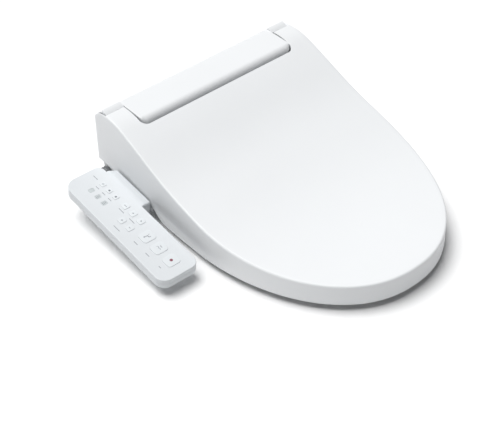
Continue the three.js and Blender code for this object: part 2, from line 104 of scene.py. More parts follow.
SEAT_LOW, SEAT_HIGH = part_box("seat_bottom")
SEAT_REAR = -118 * MM
SEAT_INSET = 8 * MM
SEAT_WALL = 4 * MM
RING_STEPS = 288
OPENING_HALF = 108 * MM
OPENING_LONG = 132 * MM
OPENING_Y = -285 * MM
OPENING_POWER = 2.3
SEAT_CREST = np.array([
    [-480, 43], [-400, 42.5], [-330, 42.5], [-260, 43.5], [-200, 46], [-150, 48.5], [-100, 50.5]]) * MM
ARM_SIDES = (163.5 * MM, 183.5 * MM)

PANEL_PLACE = (
    Matrix.Translation((-256 * MM, -114 * MM, 47 * MM))
    @ Matrix.Rotation(math.radians(-0.9), 4, "Z") @ Matrix.Rotation(math.radians(6.15), 4, "X"))
PORT_Z = 6.5 * MM
NOZZLE_PLACE = (
    Matrix.Translation((0, BODY_FRONT, PORT_Z)) @ Matrix.Rotation(math.radians(30), 4, "X"))
NOZZLE_RADIUS = 5.5 * MM
SIDES = (("left", -1), ("right", 1))


def moved(points, place):
    """Points carried by a 4 x 4 matrix."""
    m = np.array(place)
    return np.asarray(points) @ m[:3, :3].T + m[:3, 3]


def local_box(node, place):
    """(lowest corner, highest corner) of a CAD node in a turned frame of its own."""
    mesh = frame["nodes"][node].data
    points = np.empty(len(mesh.vertices) * 3, np.float32)
    mesh.vertices.foreach_get("co", points)
    points = moved(points.reshape(-1, 3), place.inverted())
    return points.min(0), points.max(0)


# ------------------------------------------------------------------------------ shader maths
class Socket:
    """A shader output. Arithmetic on it adds Math nodes to its finish's tree."""

    def __init__(self, finish, link):
        self.finish = finish
        self.link = link

    def _math(self, operation, *values):
        return self.finish.node("ShaderNodeMath", {"operation": operation}, dict(enumerate(values)))

    def __add__(self, other):
        return self._math("ADD", self, other)

    def __rsub__(self, other):
        return self._math("SUBTRACT", other, self)

    def __mul__(self, other):
        return self._math("MULTIPLY", self, other)


class Finish:
    """A material under construction: one Principled shader and the nodes that feed it."""

    def __init__(self, name):
        self.material = bpy.data.materials.new(name)
        self.material.use_nodes = True
        self.tree = self.material.node_tree
        self.shader = self.tree.nodes["Principled BSDF"]

    def node(self, kind, settings=None, inputs=None, output=0):
        """Adds a node, sets its own settings, then its sockets, and returns one output."""
        node = self.tree.nodes.new(kind)
        for key, value in (settings or {}).items():
            setattr(node, key, value)
        for key, value in (inputs or {}).items():
            self.feed(node.inputs[key], value)
        return Socket(self, node.outputs[output])

    def feed(self, target, value):
        if isinstance(value, Socket):
            self.tree.links.new(value.link, target)
        else:
            target.default_value = value

    def place(self):
        return self.node("ShaderNodeTexCoord", output="Object")

    def noise(self, scale, detail=2.0, stretch=None):
        """Noise of so many cells a metre, drawn out along an axis where stretch is given."""
        where = self.place()
        if stretch:
            where = self.node("ShaderNodeMapping", inputs={"Vector": where, "Scale": stretch})
        return self.node("ShaderNodeTexNoise", inputs={"Vector": where, "Scale": scale, "Detail": detail})

    def blend(self, factor, first, second):
        """A colour between two colours. Inputs 6 and 7 of a Mix node are its colours."""
        return self.node("ShaderNodeMix", {"data_type": "RGBA"}, {0: factor, 6: first, 7: second}, output=2)

    def bump(self, height, distance):
        return self.node("ShaderNodeBump", inputs={"Height": height, "Distance": distance})

    def set(self, **values):
        for key, value in values.items():
            self.feed(self.shader.inputs[key.replace("_", " ")], value)
        return self.material


def rgba(colour, share=1.0):
    """A share of a colour, as a node takes it."""
    return (*[min(1.0, c * share) for c in colour[:3]], 1.0)


def moulded(name, colour, roughness, coat=0.0, grain=0.0):
    """Injection-moulded plastic: a slow drift of tone from its flow in the mould, a roughness
    that wanders a little, and a very shallow ripple, or a fine grain where one is given."""
    made = Finish(name)
    drift = made.noise(9.0, 3.0)
    fine = made.noise(1400.0, 2.0) if grain else made.noise(38.0, 2.0)
    return made.set(
        Base_Color=made.blend(drift, rgba(colour, 0.985), rgba(colour, 1.012)),
        Roughness=drift * 0.06 + (roughness - 0.03),
        Normal=made.bump(fine, grain or 0.00012),
        Coat_Weight=coat, Coat_Roughness=0.1, IOR=1.46)


def soft_rubber(name, colour):
    """Matt elastomer with a fine moulded grain and a dusty tone in places."""
    made = Finish(name)
    dust = made.noise(90.0, 4.0)
    return made.set(
        Base_Color=made.blend(dust, rgba(colour, 0.92), rgba(colour, 1.05)),
        Roughness=dust * 0.15 + 0.68, Normal=made.bump(made.noise(1800.0), 0.00004))


def brushed_metal(name, colour, stretch):
    """Brushed steel: fine scratches drawn out along one axis, in tone, gloss and height."""
    made = Finish(name)
    scratch = made.noise(900.0, 5.0, stretch)
    return made.set(
        Base_Color=made.blend(scratch, rgba(colour, 0.86), rgba(colour, 1.06)),
        Metallic=1.0, Roughness=scratch * 0.25 + 0.2, Normal=made.bump(scratch, 0.00003))


def circuit_green(name, colour):
    """Solder mask over copper: a grid of tracks a shade lighter than the board."""
    made = Finish(name)
    tracks = made.node("ShaderNodeTexBrick", {"offset": 0.35}, {
        "Vector": made.place(), "Scale": 60.0, "Mortar Size": 0.035}, output="Fac")
    return made.set(
        Base_Color=made.blend(tracks, rgba(colour), rgba(colour, 1.9)),
        Roughness=0.42 - tracks * 0.1, Normal=made.bump(tracks, 0.00008))


def tinted_window(name, colour):
    """Clear tinted plastic over the level lamps, a little uneven in depth of tint."""
    made = Finish(name)
    depth = made.noise(260.0)
    return made.set(
        Base_Color=made.blend(depth, rgba(colour, 0.93), rgba(colour, 1.04)),
        Roughness=depth * 0.04 + 0.1, Coat_Weight=0.4)


def printed_ink(name, colour):
    """Pad-printed ink: slightly thin in places, and matter than the plastic below."""
    made = Finish(name)
    cover = made.noise(2600.0, 3.0)
    return made.set(
        Base_Color=made.blend(cover, rgba(colour, 0.85), rgba(colour, 1.2)), Roughness=cover * 0.2 + 0.45)


# ------------------------------------------------------------------------------ mesh making
def to_mesh(name, verts, faces, sharp=35.0, closed=True):
    """A mesh object from arrays, smooth except where faces meet at more than sharp degrees. The
    faces of a closed form are turned to point out of it."""
    mesh = bpy.data.meshes.new(name)
    mesh.from_pydata(np.asarray(verts, float).reshape(-1, 3).tolist(), [], faces)
    mesh.validate()
    form = bmesh.new()
    form.from_mesh(mesh)
    bmesh.ops.remove_doubles(form, verts=form.verts, dist=1e-7)
    if closed:
        bmesh.ops.recalc_face_normals(form, faces=form.faces)
    form.to_mesh(mesh)
    form.free()
    smooth(mesh, sharp)
    piece = bpy.data.objects.new(name, mesh)
    bpy.context.scene.collection.objects.link(piece)
    return piece


def smooth(mesh, sharp=35.0):
    """Smooth shading, but for edges whose faces meet at more than sharp degrees."""
    mesh.polygons.foreach_set("use_smooth", np.ones(len(mesh.polygons), bool))
    mesh.set_sharp_from_angle(angle=math.radians(sharp))


def grid_faces(rows, columns, wrap_rows=False, wrap_columns=False, keep=None):
    """The quads of a grid of points, as corner numbers: across a row first, then to the next
    row. keep masks the cells."""
    r = np.arange(rows if wrap_rows else rows - 1)
    c = np.arange(columns if wrap_columns else columns - 1)
    r, c = np.meshgrid(r, c, indexing="ij")
    r2, c2 = (r + 1) % rows, (c + 1) % columns
    quads = np.stack([r * columns + c, r * columns + c2, r2 * columns + c2, r2 * columns + c], -1)
    return quads[keep] if keep is not None else quads.reshape(-1, 4)


def modify(piece, kind, **settings):
    """Adds one modifier and applies it, so the mesh that is kept is the mesh that is seen."""
    modifier = piece.modifiers.new(kind.title(), kind)
    for key, value in settings.items():
        setattr(modifier, key, value)
    graph = bpy.context.evaluated_depsgraph_get()
    mesh = bpy.data.meshes.new_from_object(piece.evaluated_get(graph))
    piece.modifiers.clear()
    old, piece.data = piece.data, mesh
    bpy.data.meshes.remove(old)
    return piece


def finish_shell(piece, wall, rim, sharp=40.0):
    """Gives an open skin its wall, inwards, and rounds the rims of that wall."""
    modify(piece, "SOLIDIFY", thickness=wall, offset=-1, use_even_offset=True)
    modify(piece, "BEVEL", width=rim, segments=3, limit_method="ANGLE", angle_limit=math.radians(60))
    smooth(piece.data, sharp)
    return piece


def cut(piece, operation, *tools):
    """Joins or cuts a closed piece with closed tools, which are used up."""
    for tool in tools:
        modify(piece, "BOOLEAN", operation=operation, solver="EXACT", object=tool)
        bpy.data.objects.remove(tool)
    smooth(piece.data)
    return piece


def keep_flat(piece):
    """Keeps the shading of big flat faces flat where they meet small rounded ones."""
    piece.modifiers.new("Flat Faces", "WEIGHTED_NORMAL").keep_sharp = True
    return piece


def joined(name, parts):
    """One object from several, their meshes kept side by side."""
    verts, faces, start = [], [], 0
    for part in parts:
        points = np.empty(len(part.data.vertices) * 3)
        part.data.vertices.foreach_get("co", points)
        verts.append(points.reshape(-1, 3))
        faces += [[start + v for v in face.vertices] for face in part.data.polygons]
        start += len(part.data.vertices)
    for part in parts:
        bpy.data.objects.remove(part)
    return to_mesh(name, np.concatenate(verts), faces)


def dress(piece, body, slot, nodes=()):
    """Gives a piece the finish of its record slot and its body, and hides the CAD nodes it stands for."""
    piece.data.materials.clear()
    piece.data.materials.append(finish_of(slot))
    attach(piece, body)
    if nodes:
        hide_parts(*nodes)
    return piece


# ------------------------------------------------------------------------------ curves
def smooth_height(points):
    """A natural cubic spline through (y, z) points, as a function of an array of y. Its second
    derivatives solve the usual three-term equations, with zero at both ends."""
    y, z = points[:, 0], points[:, 1]
    step = np.diff(y)
    inner = np.arange(1, len(y) - 1)
    terms = np.eye(len(y))
    terms[inner, inner - 1] = step[:-1]
    terms[inner, inner] = 2 * (step[:-1] + step[1:])
    terms[inner, inner + 1] = step[1:]
    slope = np.diff(z) / step
    bend = np.linalg.solve(terms, np.concatenate([[0], 6 * np.diff(slope), [0]]))

    def height(at):
        k = np.clip(np.searchsorted(y, at) - 1, 0, len(y) - 2)
        h, a, b = step[k], (y[k + 1] - at) / step[k], (at - y[k]) / step[k]
        return a * z[k] + b * z[k + 1] + ((a**3 - a) * bend[k] + (b**3 - b) * bend[k + 1]) * h * h / 6

    return height


def ease(value, start, stop):
    """Smoothstep: 0 before start, 1 after stop, with no slope at either."""
    t = np.clip((value - start) / (stop - start), 0, 1)
    return t * t * (3 - 2 * t)


def circle(turn):
    """Points of the unit circle at an array of angles."""
    return np.stack([np.cos(turn), np.sin(turn)], -1)


def rounded(points, radii, steps=6):
    """A closed polygon whose corners are arcs of the given radii. An arc is the circle that
    touches both sides of its corner, so it starts radius / tan(half the corner) from it."""
    points = np.asarray(points, float)
    radii = np.broadcast_to(radii, len(points))
    out = []
    for here, before, after, radius in zip(points, np.roll(points, 1, 0), np.roll(points, -1, 0), radii):
        a, b = before - here, after - here
        reach = min(np.linalg.norm(a), np.linalg.norm(b)) * 0.499
        a, b = a / np.linalg.norm(a), b / np.linalg.norm(b)
        half = math.acos(np.clip(a @ b, -1, 1)) / 2
        if radius <= 0 or abs(half - math.pi / 2) < 1e-3:
            out.append(here[None])
            continue
        start = min(radius / math.tan(half), reach)
        radius = start * math.tan(half)
        middle = here + (a + b) / np.linalg.norm(a + b) * radius / math.sin(half)
        first, last = here + a * start - middle, here + b * start - middle
        turn = math.atan2(first[0] * last[1] - first[1] * last[0], first @ last)
        angle = math.atan2(first[1], first[0]) + np.linspace(0, turn, steps + 1)
        out.append(middle + radius * circle(angle))
    return np.concatenate(out)


def box_outline(x0, x1, y0, y1, radius, steps=8):
    """A rectangle with rounded corners. radius may list one for each, from (x0, y0) round."""
    return rounded([(x0, y0), (x1, y0), (x1, y1), (x0, y1)], radius, steps)


def resample(line, count):
    """The same closed line with evenly spaced points."""
    whole = np.concatenate([line, line[:1]])
    far = np.concatenate([[0], np.cumsum(np.linalg.norm(np.diff(whole, axis=0), axis=1))])
    at = np.linspace(0, far[-1], count + 1)[:-1]
    return np.stack([np.interp(at, far, whole[:, k]) for k in range(2)], -1)


def outward(outline, closed=True):
    """Unit normals that point out of an anticlockwise outline, from its central tangents."""
    tangent = np.roll(outline, -1, 0) - np.roll(outline, 1, 0) if closed else np.gradient(outline, axis=0)
    normal = np.stack([tangent[:, 1], -tangent[:, 0]], -1)
    return normal / np.maximum(np.linalg.norm(normal, axis=1, keepdims=True), 1e-12)


# ------------------------------------------------------------------------------ basic forms
# which frame axes an outline's own two axes and its height lie on
PLANES = {"xy": (0, 1, 2), "yz": (1, 2, 0)}
WHOLE = Matrix.Identity(4)
ARC = np.linspace(0, math.pi / 2, 5)


def rim_steps(edge):
    """How far in and how far up each ring of a rounded rim lies; one ring for a sharp rim."""
    turn = ARC if edge > 0 else ARC[-1:]
    return np.stack([edge * (1 - np.sin(turn)), edge * (1 - np.cos(turn))], -1)


def prism(name, outline, low, high, edge=0.0, plane="xy", place=WHOLE, crown=0.0, between=(), warp=None):
    """A solid of one outline. edge gives the radius of its low and high rims: at angle a of a
    rim the outline is drawn in by edge (1 - sin a), edge (1 - cos a) short of the end. A crown
    lifts the high end by crown (1 - r^4), where r runs from 1 at the rim to 0 in the middle.
    between adds rings of points, and warp changes the points in the frame's axes."""
    low_edge, high_edge = np.broadcast_to(edge, 2)
    normal = outward(outline)
    levels = [(inset, low + rise) for inset, rise in rim_steps(low_edge)]
    levels += [(0, z) for z in between]
    levels += [(inset, high - rise) for inset, rise in rim_steps(high_edge)[::-1]]
    layers = [np.column_stack([outline - normal * d, np.full(len(outline), z)]) for d, z in levels]
    if crown:
        rim = layers[-1][:, :2]
        for share in (0.93, 0.82, 0.66, 0.45, 0.2):
            flat = rim.mean(0) + (rim - rim.mean(0)) * share
            layers.append(np.column_stack([flat, np.full(len(outline), high + crown * (1 - share**4))]))
    points = np.empty((len(layers), len(outline), 3))
    points[..., PLANES[plane]] = layers
    points = moved(points, place)
    return loft(name, warp(points) if warp else points)


def turned(name, profile, place, sides=48, ring=False):
    """A solid of revolution about its own y axis. The profile lists (radius, y) from one end of
    the axis to the other, or round a ring's section, and each row is a circle of that radius."""
    profile = np.asarray(profile, float)
    angle = np.linspace(0, 2 * math.pi, sides, endpoint=False)
    radius, along = profile[:, :1], np.repeat(profile[:, 1:], sides, 1)
    points = np.stack([radius * np.cos(angle), along, radius * np.sin(angle)], -1)
    return loft(name, moved(points, place), ring)


def loft(name, sections, ring=False):
    """A solid through sections with the same number of points. It's closed at both ends, or runs
    from the last section to the first, as a ring."""
    rows, columns = sections.shape[:2]
    faces = grid_faces(rows, columns, wrap_rows=ring, wrap_columns=True).tolist()
    if not ring:
        faces += [list(range(columns)), list(range((rows - 1) * columns, rows * columns))]
    return to_mesh(name, sections, faces)


def pointing(side, y, z):
    """Turns a revolved piece's y axis onto +X or -X, through (0, y, z)."""
    return Matrix.Translation((0, y, z)) @ Matrix.Rotation(-side * math.pi / 2, 4, "Z")


def on_hinge(side):
    """As pointing, along the hinge line."""
    return pointing(side, HINGE.y, HINGE.z)


def bar_profile(radius, start, stop, edge):
    """A round bar's outline as (radius, y), its ends rounded by edge."""
    drawn_in, rise = radius - edge * (1 - np.sin(ARC)), edge * (1 - np.cos(ARC))
    return np.concatenate([
        np.stack([drawn_in, start + rise], -1), np.stack([drawn_in, stop - rise], -1)[::-1]])


def tube_profile(bore, radius, start, stop, edge):
    """A tube's section as (radius, y), for a ring: its bore and its rounded outside."""
    return np.concatenate([[(bore, start)], bar_profile(radius, start, stop, edge), [(bore, stop)]])


# ------------------------------------------------------------------------------ shared outlines
crest = smooth_height(CREST)
seat_crest = smooth_height(SEAT_CREST)


def lid_half(y):
    """Half the lid's width behind its widest line: it narrows with the square of the distance."""
    return LID_HALF - REAR_NARROWING * ((y - WIDEST) / WIDEST) ** 2


def lid_outline(inset, side_stations):
    """The plan from the left rear round the nose to the right rear, drawn in by inset. The sides
    follow lid_half at the stations. The nose is half of a superellipse, at even angles."""
    a, b = PLAN_POWERS
    side = np.stack([inset - lid_half(side_stations), side_stations], -1)
    along = np.sin(np.linspace(0, math.pi / 2, NOSE_STEPS + 1)[1:])
    x = (inset - LID_HALF) * np.maximum(1 - along**a, 0) ** (1 / b)
    front = np.stack([x, WIDEST - (WIDEST - NOSE - inset) * along], -1)
    half = np.concatenate([side, front])
    return np.concatenate([half, (half * [-1, 1])[-2::-1]])


def ring_outline(inset, rear, corner):
    """The seat's closed plan: the lid's, drawn in, with a straight rear and rounded corners."""
    side = np.linspace(rear - corner, WIDEST, 8)
    plan = lid_outline(inset, side)
    turn = np.linspace(0, math.pi / 2, 9)[1:, None]
    arc = plan[-1] + corner * np.concatenate([np.cos(turn) - 1, np.sin(turn)], 1)
    return resample(np.concatenate([plan, arc, (arc * [-1, 1])[::-1]]), RING_STEPS)


def opening_at(points, grow):
    """Where the ray from the opening's centre through each point meets the opening, grown by
    grow. A superellipse's radius at an angle is (|c / a|^p + |s / b|^p)^(-1 / p)."""
    ray = points - [0, OPENING_Y]
    ray = ray / np.linalg.norm(ray, axis=1, keepdims=True)
    size = np.array([OPENING_HALF, OPENING_LONG]) + grow
    radius = (np.abs(ray / size) ** OPENING_POWER).sum(1) ** (-1 / OPENING_POWER)
    return [0, OPENING_Y] + ray * radius[:, None]


def corner_warp(points, corner_x, corner_y, radius, inward, share=1.0):
    """Rounds a square corner in plan, on both sides. A point at distance t from the corner, by
    its larger offset, moves along the diagonal by d, where (r - d)^2 + (r - t - d)^2 = r^2, so
    both edges land on one arc. inward leads from the corner to the arc's centre."""
    x, y = points[..., 0], points[..., 1]
    t = np.minimum(np.maximum(np.abs(np.abs(x) - corner_x), np.abs(y - corner_y)), radius)
    move = share * (radius - (t + np.sqrt(2 * radius**2 - t**2)) / 2)
    warped = points.copy()
    warped[..., 0] = x + np.sign(x) * inward[0] * move
    warped[..., 1] = y + inward[1] * move
    return warped


def lid_surface(sizes):
    """The lid's outer skin. Rows run from the middle line out to the rim, round the edge and
    down the skirt; columns follow the outline. Behind the widest line a row keeps its distance
    from the middle, and in front of it rows are smaller copies of the rim about the middle of
    that line. Height is the crest at each y, less the edge's rounding."""
    corner = sizes.corner_radius
    fine = corner / 8
    stations = np.concatenate([
        np.linspace(LID_REAR, EAR_REAR, 9)[:-1], np.linspace(EAR_REAR, NOTCH_FRONT + corner, 7)[:-1],
        NOTCH_FRONT + np.arange(8, -8, -1) * fine, np.linspace(NOTCH_FRONT - corner, WIDEST, 20)])
    outline = lid_outline(0, stations)
    out = outward(outline, closed=False)
    count, columns = len(stations), len(outline)
    mix = ease(outline[:, 1], -300 * MM, -100 * MM)
    radius = sizes.lid_edge_radius * (1 - mix) + sizes.lid_rear_radius * mix
    rim = outline - out * radius[:, None]

    near = np.concatenate([
        np.linspace(0, NOTCH_HALF - corner, 9)[:-1], NOTCH_HALF + np.arange(-8, 1) * fine])
    beyond = np.array([0.05, 0.1, 0.15, 0.2, 0.25, 0.3, 0.36, 0.44, 0.56, 0.7, 0.85, 1.0])
    side_x = np.concatenate([
        np.repeat(near[None], columns, 0),
        NOTCH_HALF + (np.abs(rim[:, :1]) - NOTCH_HALF) * beyond[None]], 1)
    share = side_x[count - 1] / side_x[count - 1, -1]
    side = np.zeros(columns, bool)
    side[:count] = side[-count:] = True
    sign = np.where(np.arange(columns) < columns // 2, -1, 1)[:, None]
    x = np.where(side[:, None], sign * side_x, rim[:, :1] * share)
    y = np.where(side[:, None], outline[:, 1:], WIDEST + (rim[:, 1:] - WIDEST) * share)
    top = corner_warp(np.stack([x, y], -1), NOTCH_HALF, NOTCH_FRONT, corner, (-1, 1)).transpose(1, 0, 2)

    angle = np.linspace(0, math.pi / 2, 9)[1:, None, None]
    edge = outline - out * (radius[:, None] * (1 - np.sin(angle)))
    drop = np.concatenate([np.zeros((len(share), columns)), radius * (1 - np.cos(angle[..., 0]))])
    plan = np.concatenate([top, edge])
    upper = np.concatenate([plan, (crest(plan[..., 1]) - drop)[..., None]], -1)

    foot = SKIRT_FRONT + (SKIRT_REAR - SKIRT_FRONT) * ease(outline[:, 1], *SKIRT_RAMP)
    fall = np.linspace(0, 1, 7)[1:, None]
    height = upper[-1, :, 2] + (foot - upper[-1, :, 2]) * fall
    skirt = np.concatenate([np.repeat(outline[None], 6, 0), height[..., None]], -1)
    points = np.concatenate([upper, skirt])

    middle = (outline[1:, 1] + outline[:-1, 1]) / 2
    row = np.arange(len(points) - 1)[:, None]
    over_notch = (row < len(near) - 1) & (middle > NOTCH_FRONT)
    over_plate = (row < len(share) + 3) & (middle > EAR_REAR)
    faces = grid_faces(len(points), columns, keep=~(over_notch | over_plate))
    return to_mesh("lid", points, faces[:, ::-1].tolist(), sharp=50, closed=False)


# ------------------------------------------------------------------------------ sizes and colours
def length(name, description, default):
    """A size, whose default is in millimetres."""
    return bpy.props.FloatProperty(
        name=name, description=description, default=default * MM, min=0.01 * MM, max=30 * MM,
        unit="LENGTH")


def colour(name, description, default):
    """A colour the sidebar can change."""
    return bpy.props.FloatVectorProperty(
        name=name, description=description, default=default, size=3, min=0, max=1, subtype="COLOR")


class BidetSizes(bpy.types.PropertyGroup):
    """Sizes of edges and details that the frame leaves open."""

    lid_wall: length("Lid wall", "Thickness of the lid", 3.4)
    lid_edge_radius: length("Lid edge", "Radius of the lid's upper edge at the nose", 3.6)
    lid_rear_radius: length("Lid rear edge", "Radius of the lid's upper edge at the sides", 3)
    corner_radius: length("Notch corner", "Corner radius of the lid's notch, in plan", 12.5)
    shell_wall: length("Shell wall", "Thickness of the cover's and the case's walls", 3)
    seat_edge_radius: length("Seat edge", "Radius of the ring's outer edge", 8)
    seat_inner_radius: length("Opening edge", "Radius of the ring's inner edge", 12)
    seat_dish: length("Seat dish", "How far the ring's top falls towards the opening", 2.5)
    panel_edge_radius: length("Panel edge", "Radius of the panel's rims", 1.3)
    key_edge_radius: length("Key edge", "Radius of each key's rim", 0.4)
    key_gap: length("Key gap", "Gap round each key", 0.2)
    ink_height: length("Ink height", "How far a printed mark stands proud", 0.05)


class BidetColours(bpy.types.PropertyGroup):
    """Base colours of the finishes, in linear light."""

    gloss_white: colour("Gloss white", "Lid, seat and cover", (0.838, 0.852, 0.864))
    case_white: colour("Case white", "Base case, seat's underside, nozzle tube and tank", (0.80, 0.815, 0.83))
    panel_white: colour("Panel white", "Control panel's shells", (0.70, 0.725, 0.745))
    key_white: colour("Key white", "Keys", (0.725, 0.755, 0.775))
    grey_plastic: colour("Grey plastic", "Side fittings, dampers and hose", (0.26, 0.27, 0.28))
    dark_plastic: colour("Dark plastic", "Valve, fan, power module and nozzle guide", (0.03, 0.034, 0.038))
    grey_rubber: colour("Grey rubber", "Bumpers", (0.60, 0.61, 0.62))
    steel: colour("Steel", "Nozzle tip and motor, plate, pins and screws", (0.55, 0.56, 0.57))
    board: colour("Board green", "Circuit boards", (0.012, 0.13, 0.045))
    heater_foil: colour("Heater foil", "Heating sheets", (0.60, 0.26, 0.09))
    window: colour("Window tint", "Level and lamp windows", (0.60, 0.64, 0.65))
    ink: colour("Ink grey", "Printed marks", (0.27, 0.285, 0.31))
    stop_red: colour("Stop red", "Mark on the stop key", (0.24, 0.07, 0.10))
    floor: colour("Floor", "Floor and backdrop", (0.95, 0.95, 0.95))


# what makes each slot's finish from its colour, and with which settings
FINISHES = {
    "gloss_white": (moulded, {"roughness": 0.5, "coat": 0.06}),
    "case_white": (moulded, {"roughness": 0.42, "grain": 0.03 * MM}),
    "panel_white": (moulded, {"roughness": 0.4, "grain": 0.02 * MM}),
    "key_white": (moulded, {"roughness": 0.38}),
    "grey_plastic": (moulded, {"roughness": 0.5, "grain": 0.04 * MM}),
    "dark_plastic": (moulded, {"roughness": 0.55, "grain": 0.05 * MM}),
    "grey_rubber": (soft_rubber, {}),
    "steel": (brushed_metal, {"stretch": (1.0, 0.05, 1.0)}),
    "board": (circuit_green, {}),
    "heater_foil": (brushed_metal, {"stretch": (0.08, 1.0, 1.0)}),
    "window": (tinted_window, {}),
    "ink": (printed_ink, {}),
    "stop_red": (printed_ink, {}),
}


def finish_of(slot):
    """The finish of a slot, made once and shared by every piece that takes it. Its name differs
    from the slot's own, which the frame's plain material has."""
    name = slot + "_finish"
    make, settings = FINISHES[slot]
    shade = tuple(getattr(bpy.context.scene.bidet_colours, slot))
    return bpy.data.materials.get(name) or make(name, shade, **settings)


# ------------------------------------------------------------------------------ lid and seat
class BIDET_OT_lid(bpy.types.Operator):
    """Makes the lid: one curved shell with a notch for the cover, and bosses on the hinge line"""

    bl_idname = "bidet.lid"
    bl_label = "Lid"

    def execute(self, context):
        sizes = context.scene.bidet_sizes
        lid = finish_shell(lid_surface(sizes), sizes.lid_wall, 0.9 * MM)
        dress(lid, "lid", "gloss_white", ["lid"])
        for word, side in SIDES:
            inner = ARM_SIDES[1] + BOSS_GAP
            outer = lid_half(HINGE.y) - sizes.lid_wall / 2
            profile = tube_profile(HINGE_BORE, HUB_RADIUS, inner, outer, 1 * MM)
            boss = turned(f"lid_boss_{word}", profile, on_hinge(side), ring=True)
            dress(boss, "lid", "gloss_white")
        return {"FINISHED"}


class BIDET_OT_bumpers(bpy.types.Operator):
    """Makes the soft pads below the lid and the seat: rounded rims and slightly domed faces"""

    bl_idname = "bidet.bumpers"
    bl_label = "Bumpers"

    def execute(self, context):
        for node in frame["nodes"]:
            if "bumper" not in node:
                continue
            low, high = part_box(node)
            corner = min(high.x - low.x, high.y - low.y) * 0.36
            pad = prism(node + "_pad", box_outline(low.x, high.x, low.y, high.y, corner), low.z, high.z,
                        (1.6 * MM, 0.4 * MM))
            dress(pad, "lid" if node.startswith("lid") else "seat", "grey_rubber", [node])
        return {"FINISHED"}


def seat_surface(sizes):
    """The ring's outer skin. Columns follow its plan, each paired with the point of the opening
    on the same ray from the opening's centre. Rows climb the outer wall, round its edge, cross
    the dished top, and go round the inner edge and down into the opening."""
    outline = ring_outline(SEAT_INSET, SEAT_REAR, 12 * MM)
    out = outward(outline)
    outer, inner, dish = sizes.seat_edge_radius, sizes.seat_inner_radius, sizes.seat_dish
    turn = np.linspace(0, math.pi / 2, 8)
    rows = [(outline, share, 0) for share in (0, 0.35, 0.7)]
    rows += [(outline - out * outer * (1 - math.cos(a)), 1, outer * (1 - math.sin(a))) for a in turn]
    shoulder, lip = outline - out * outer, opening_at(outline, inner)
    rows += [(shoulder + (lip - shoulder) * t, 1, dish * t * t) for t in np.linspace(0, 1, 14)[1:-1]]
    rows += [(opening_at(outline, inner * (1 - math.sin(a))), 1, dish + inner * (1 - math.cos(a)))
             for a in turn]
    rows += [(opening_at(outline, 0), share, dish + inner) for share in (0.5, 0)]
    points = []
    for plan, share, drop in rows:
        height = seat_crest(plan[:, 1]) - drop
        base = np.full(len(plan), SEAT_LOW.z)
        if share < 1:
            edge = dish + inner if drop else outer
            height = base + (seat_crest(plan[:, 1]) - edge - base) * share
        points.append(np.column_stack([plan, height]))
    points = np.stack(points)
    faces = grid_faces(*points.shape[:2], wrap_columns=True)
    return to_mesh("seat_ring", points, faces.tolist(), sharp=60, closed=False)


def arm_outline():
    """A seat arm in (y, z): a swan neck from the ring up to a round hub on the hinge line."""
    turn = np.radians(np.linspace(-57, 175, 20))
    arc = np.array(HINGE.yz) + HUB_RADIUS * circle(turn)
    below = np.array([(-136, 33), (-118, 38), (-28, 43), (14, 50), (30, 66)]) * MM
    above = np.array([(19, 78), (8, 66), (-28, 58), (-118, 52), (-136, 49)]) * MM
    bends = np.array([1, 30, 60, 26, 24] + [0] * len(arc) + [16, 24, 50, 40, 1]) * MM
    return rounded(np.concatenate([below, arc, above]), bends)


class BIDET_OT_seat(bpy.types.Operator):
    """Makes the seat: a dished ring, its bottom plate, and the two arms that reach the hinge"""

    bl_idname = "bidet.seat"
    bl_label = "Seat"

    def execute(self, context):
        sizes = context.scene.bidet_sizes
        ring = finish_shell(seat_surface(sizes), SEAT_WALL * 0.9, 0.8 * MM, sharp=60)
        dress(ring, "seat", "gloss_white", ["seat_top"])

        inset = SEAT_INSET + SEAT_WALL + 0.4 * MM
        plan = ring_outline(inset, SEAT_REAR - SEAT_WALL, 8 * MM)
        lip = opening_at(plan, inset - SEAT_INSET)
        low, high = SEAT_LOW.z, SEAT_HIGH.z
        section = [(plan, low), (plan, high), (lip, high), (lip, low)]
        points = np.stack([np.column_stack([line, np.full(len(line), z)]) for line, z in section])
        plate = loft("seat_underside", points, ring=True)
        dress(plate, "seat", "case_white", ["seat_bottom"])

        for word, side in SIDES:
            low, high = sorted(side * x for x in ARM_SIDES)
            arm = prism(f"seat_arm_{word}", arm_outline(), low, high, 2.4 * MM, plane="yz")
            bore = turned("bore", bar_profile(HINGE_BORE, 150 * MM, 195 * MM, 0),
                          on_hinge(side))
            dress(keep_flat(cut(arm, "DIFFERENCE", bore)), "seat", "gloss_white", ["seat_top"])
        return {"FINISHED"}


# ------------------------------------------------------------------------------ body
def roof_line(start, stop, drop=0.0, count=14):
    """The cover's crest as (y, z) points from start to stop, lowered by drop."""
    y = np.linspace(start, stop, count)
    return np.stack([y, crest(y) - drop], -1)


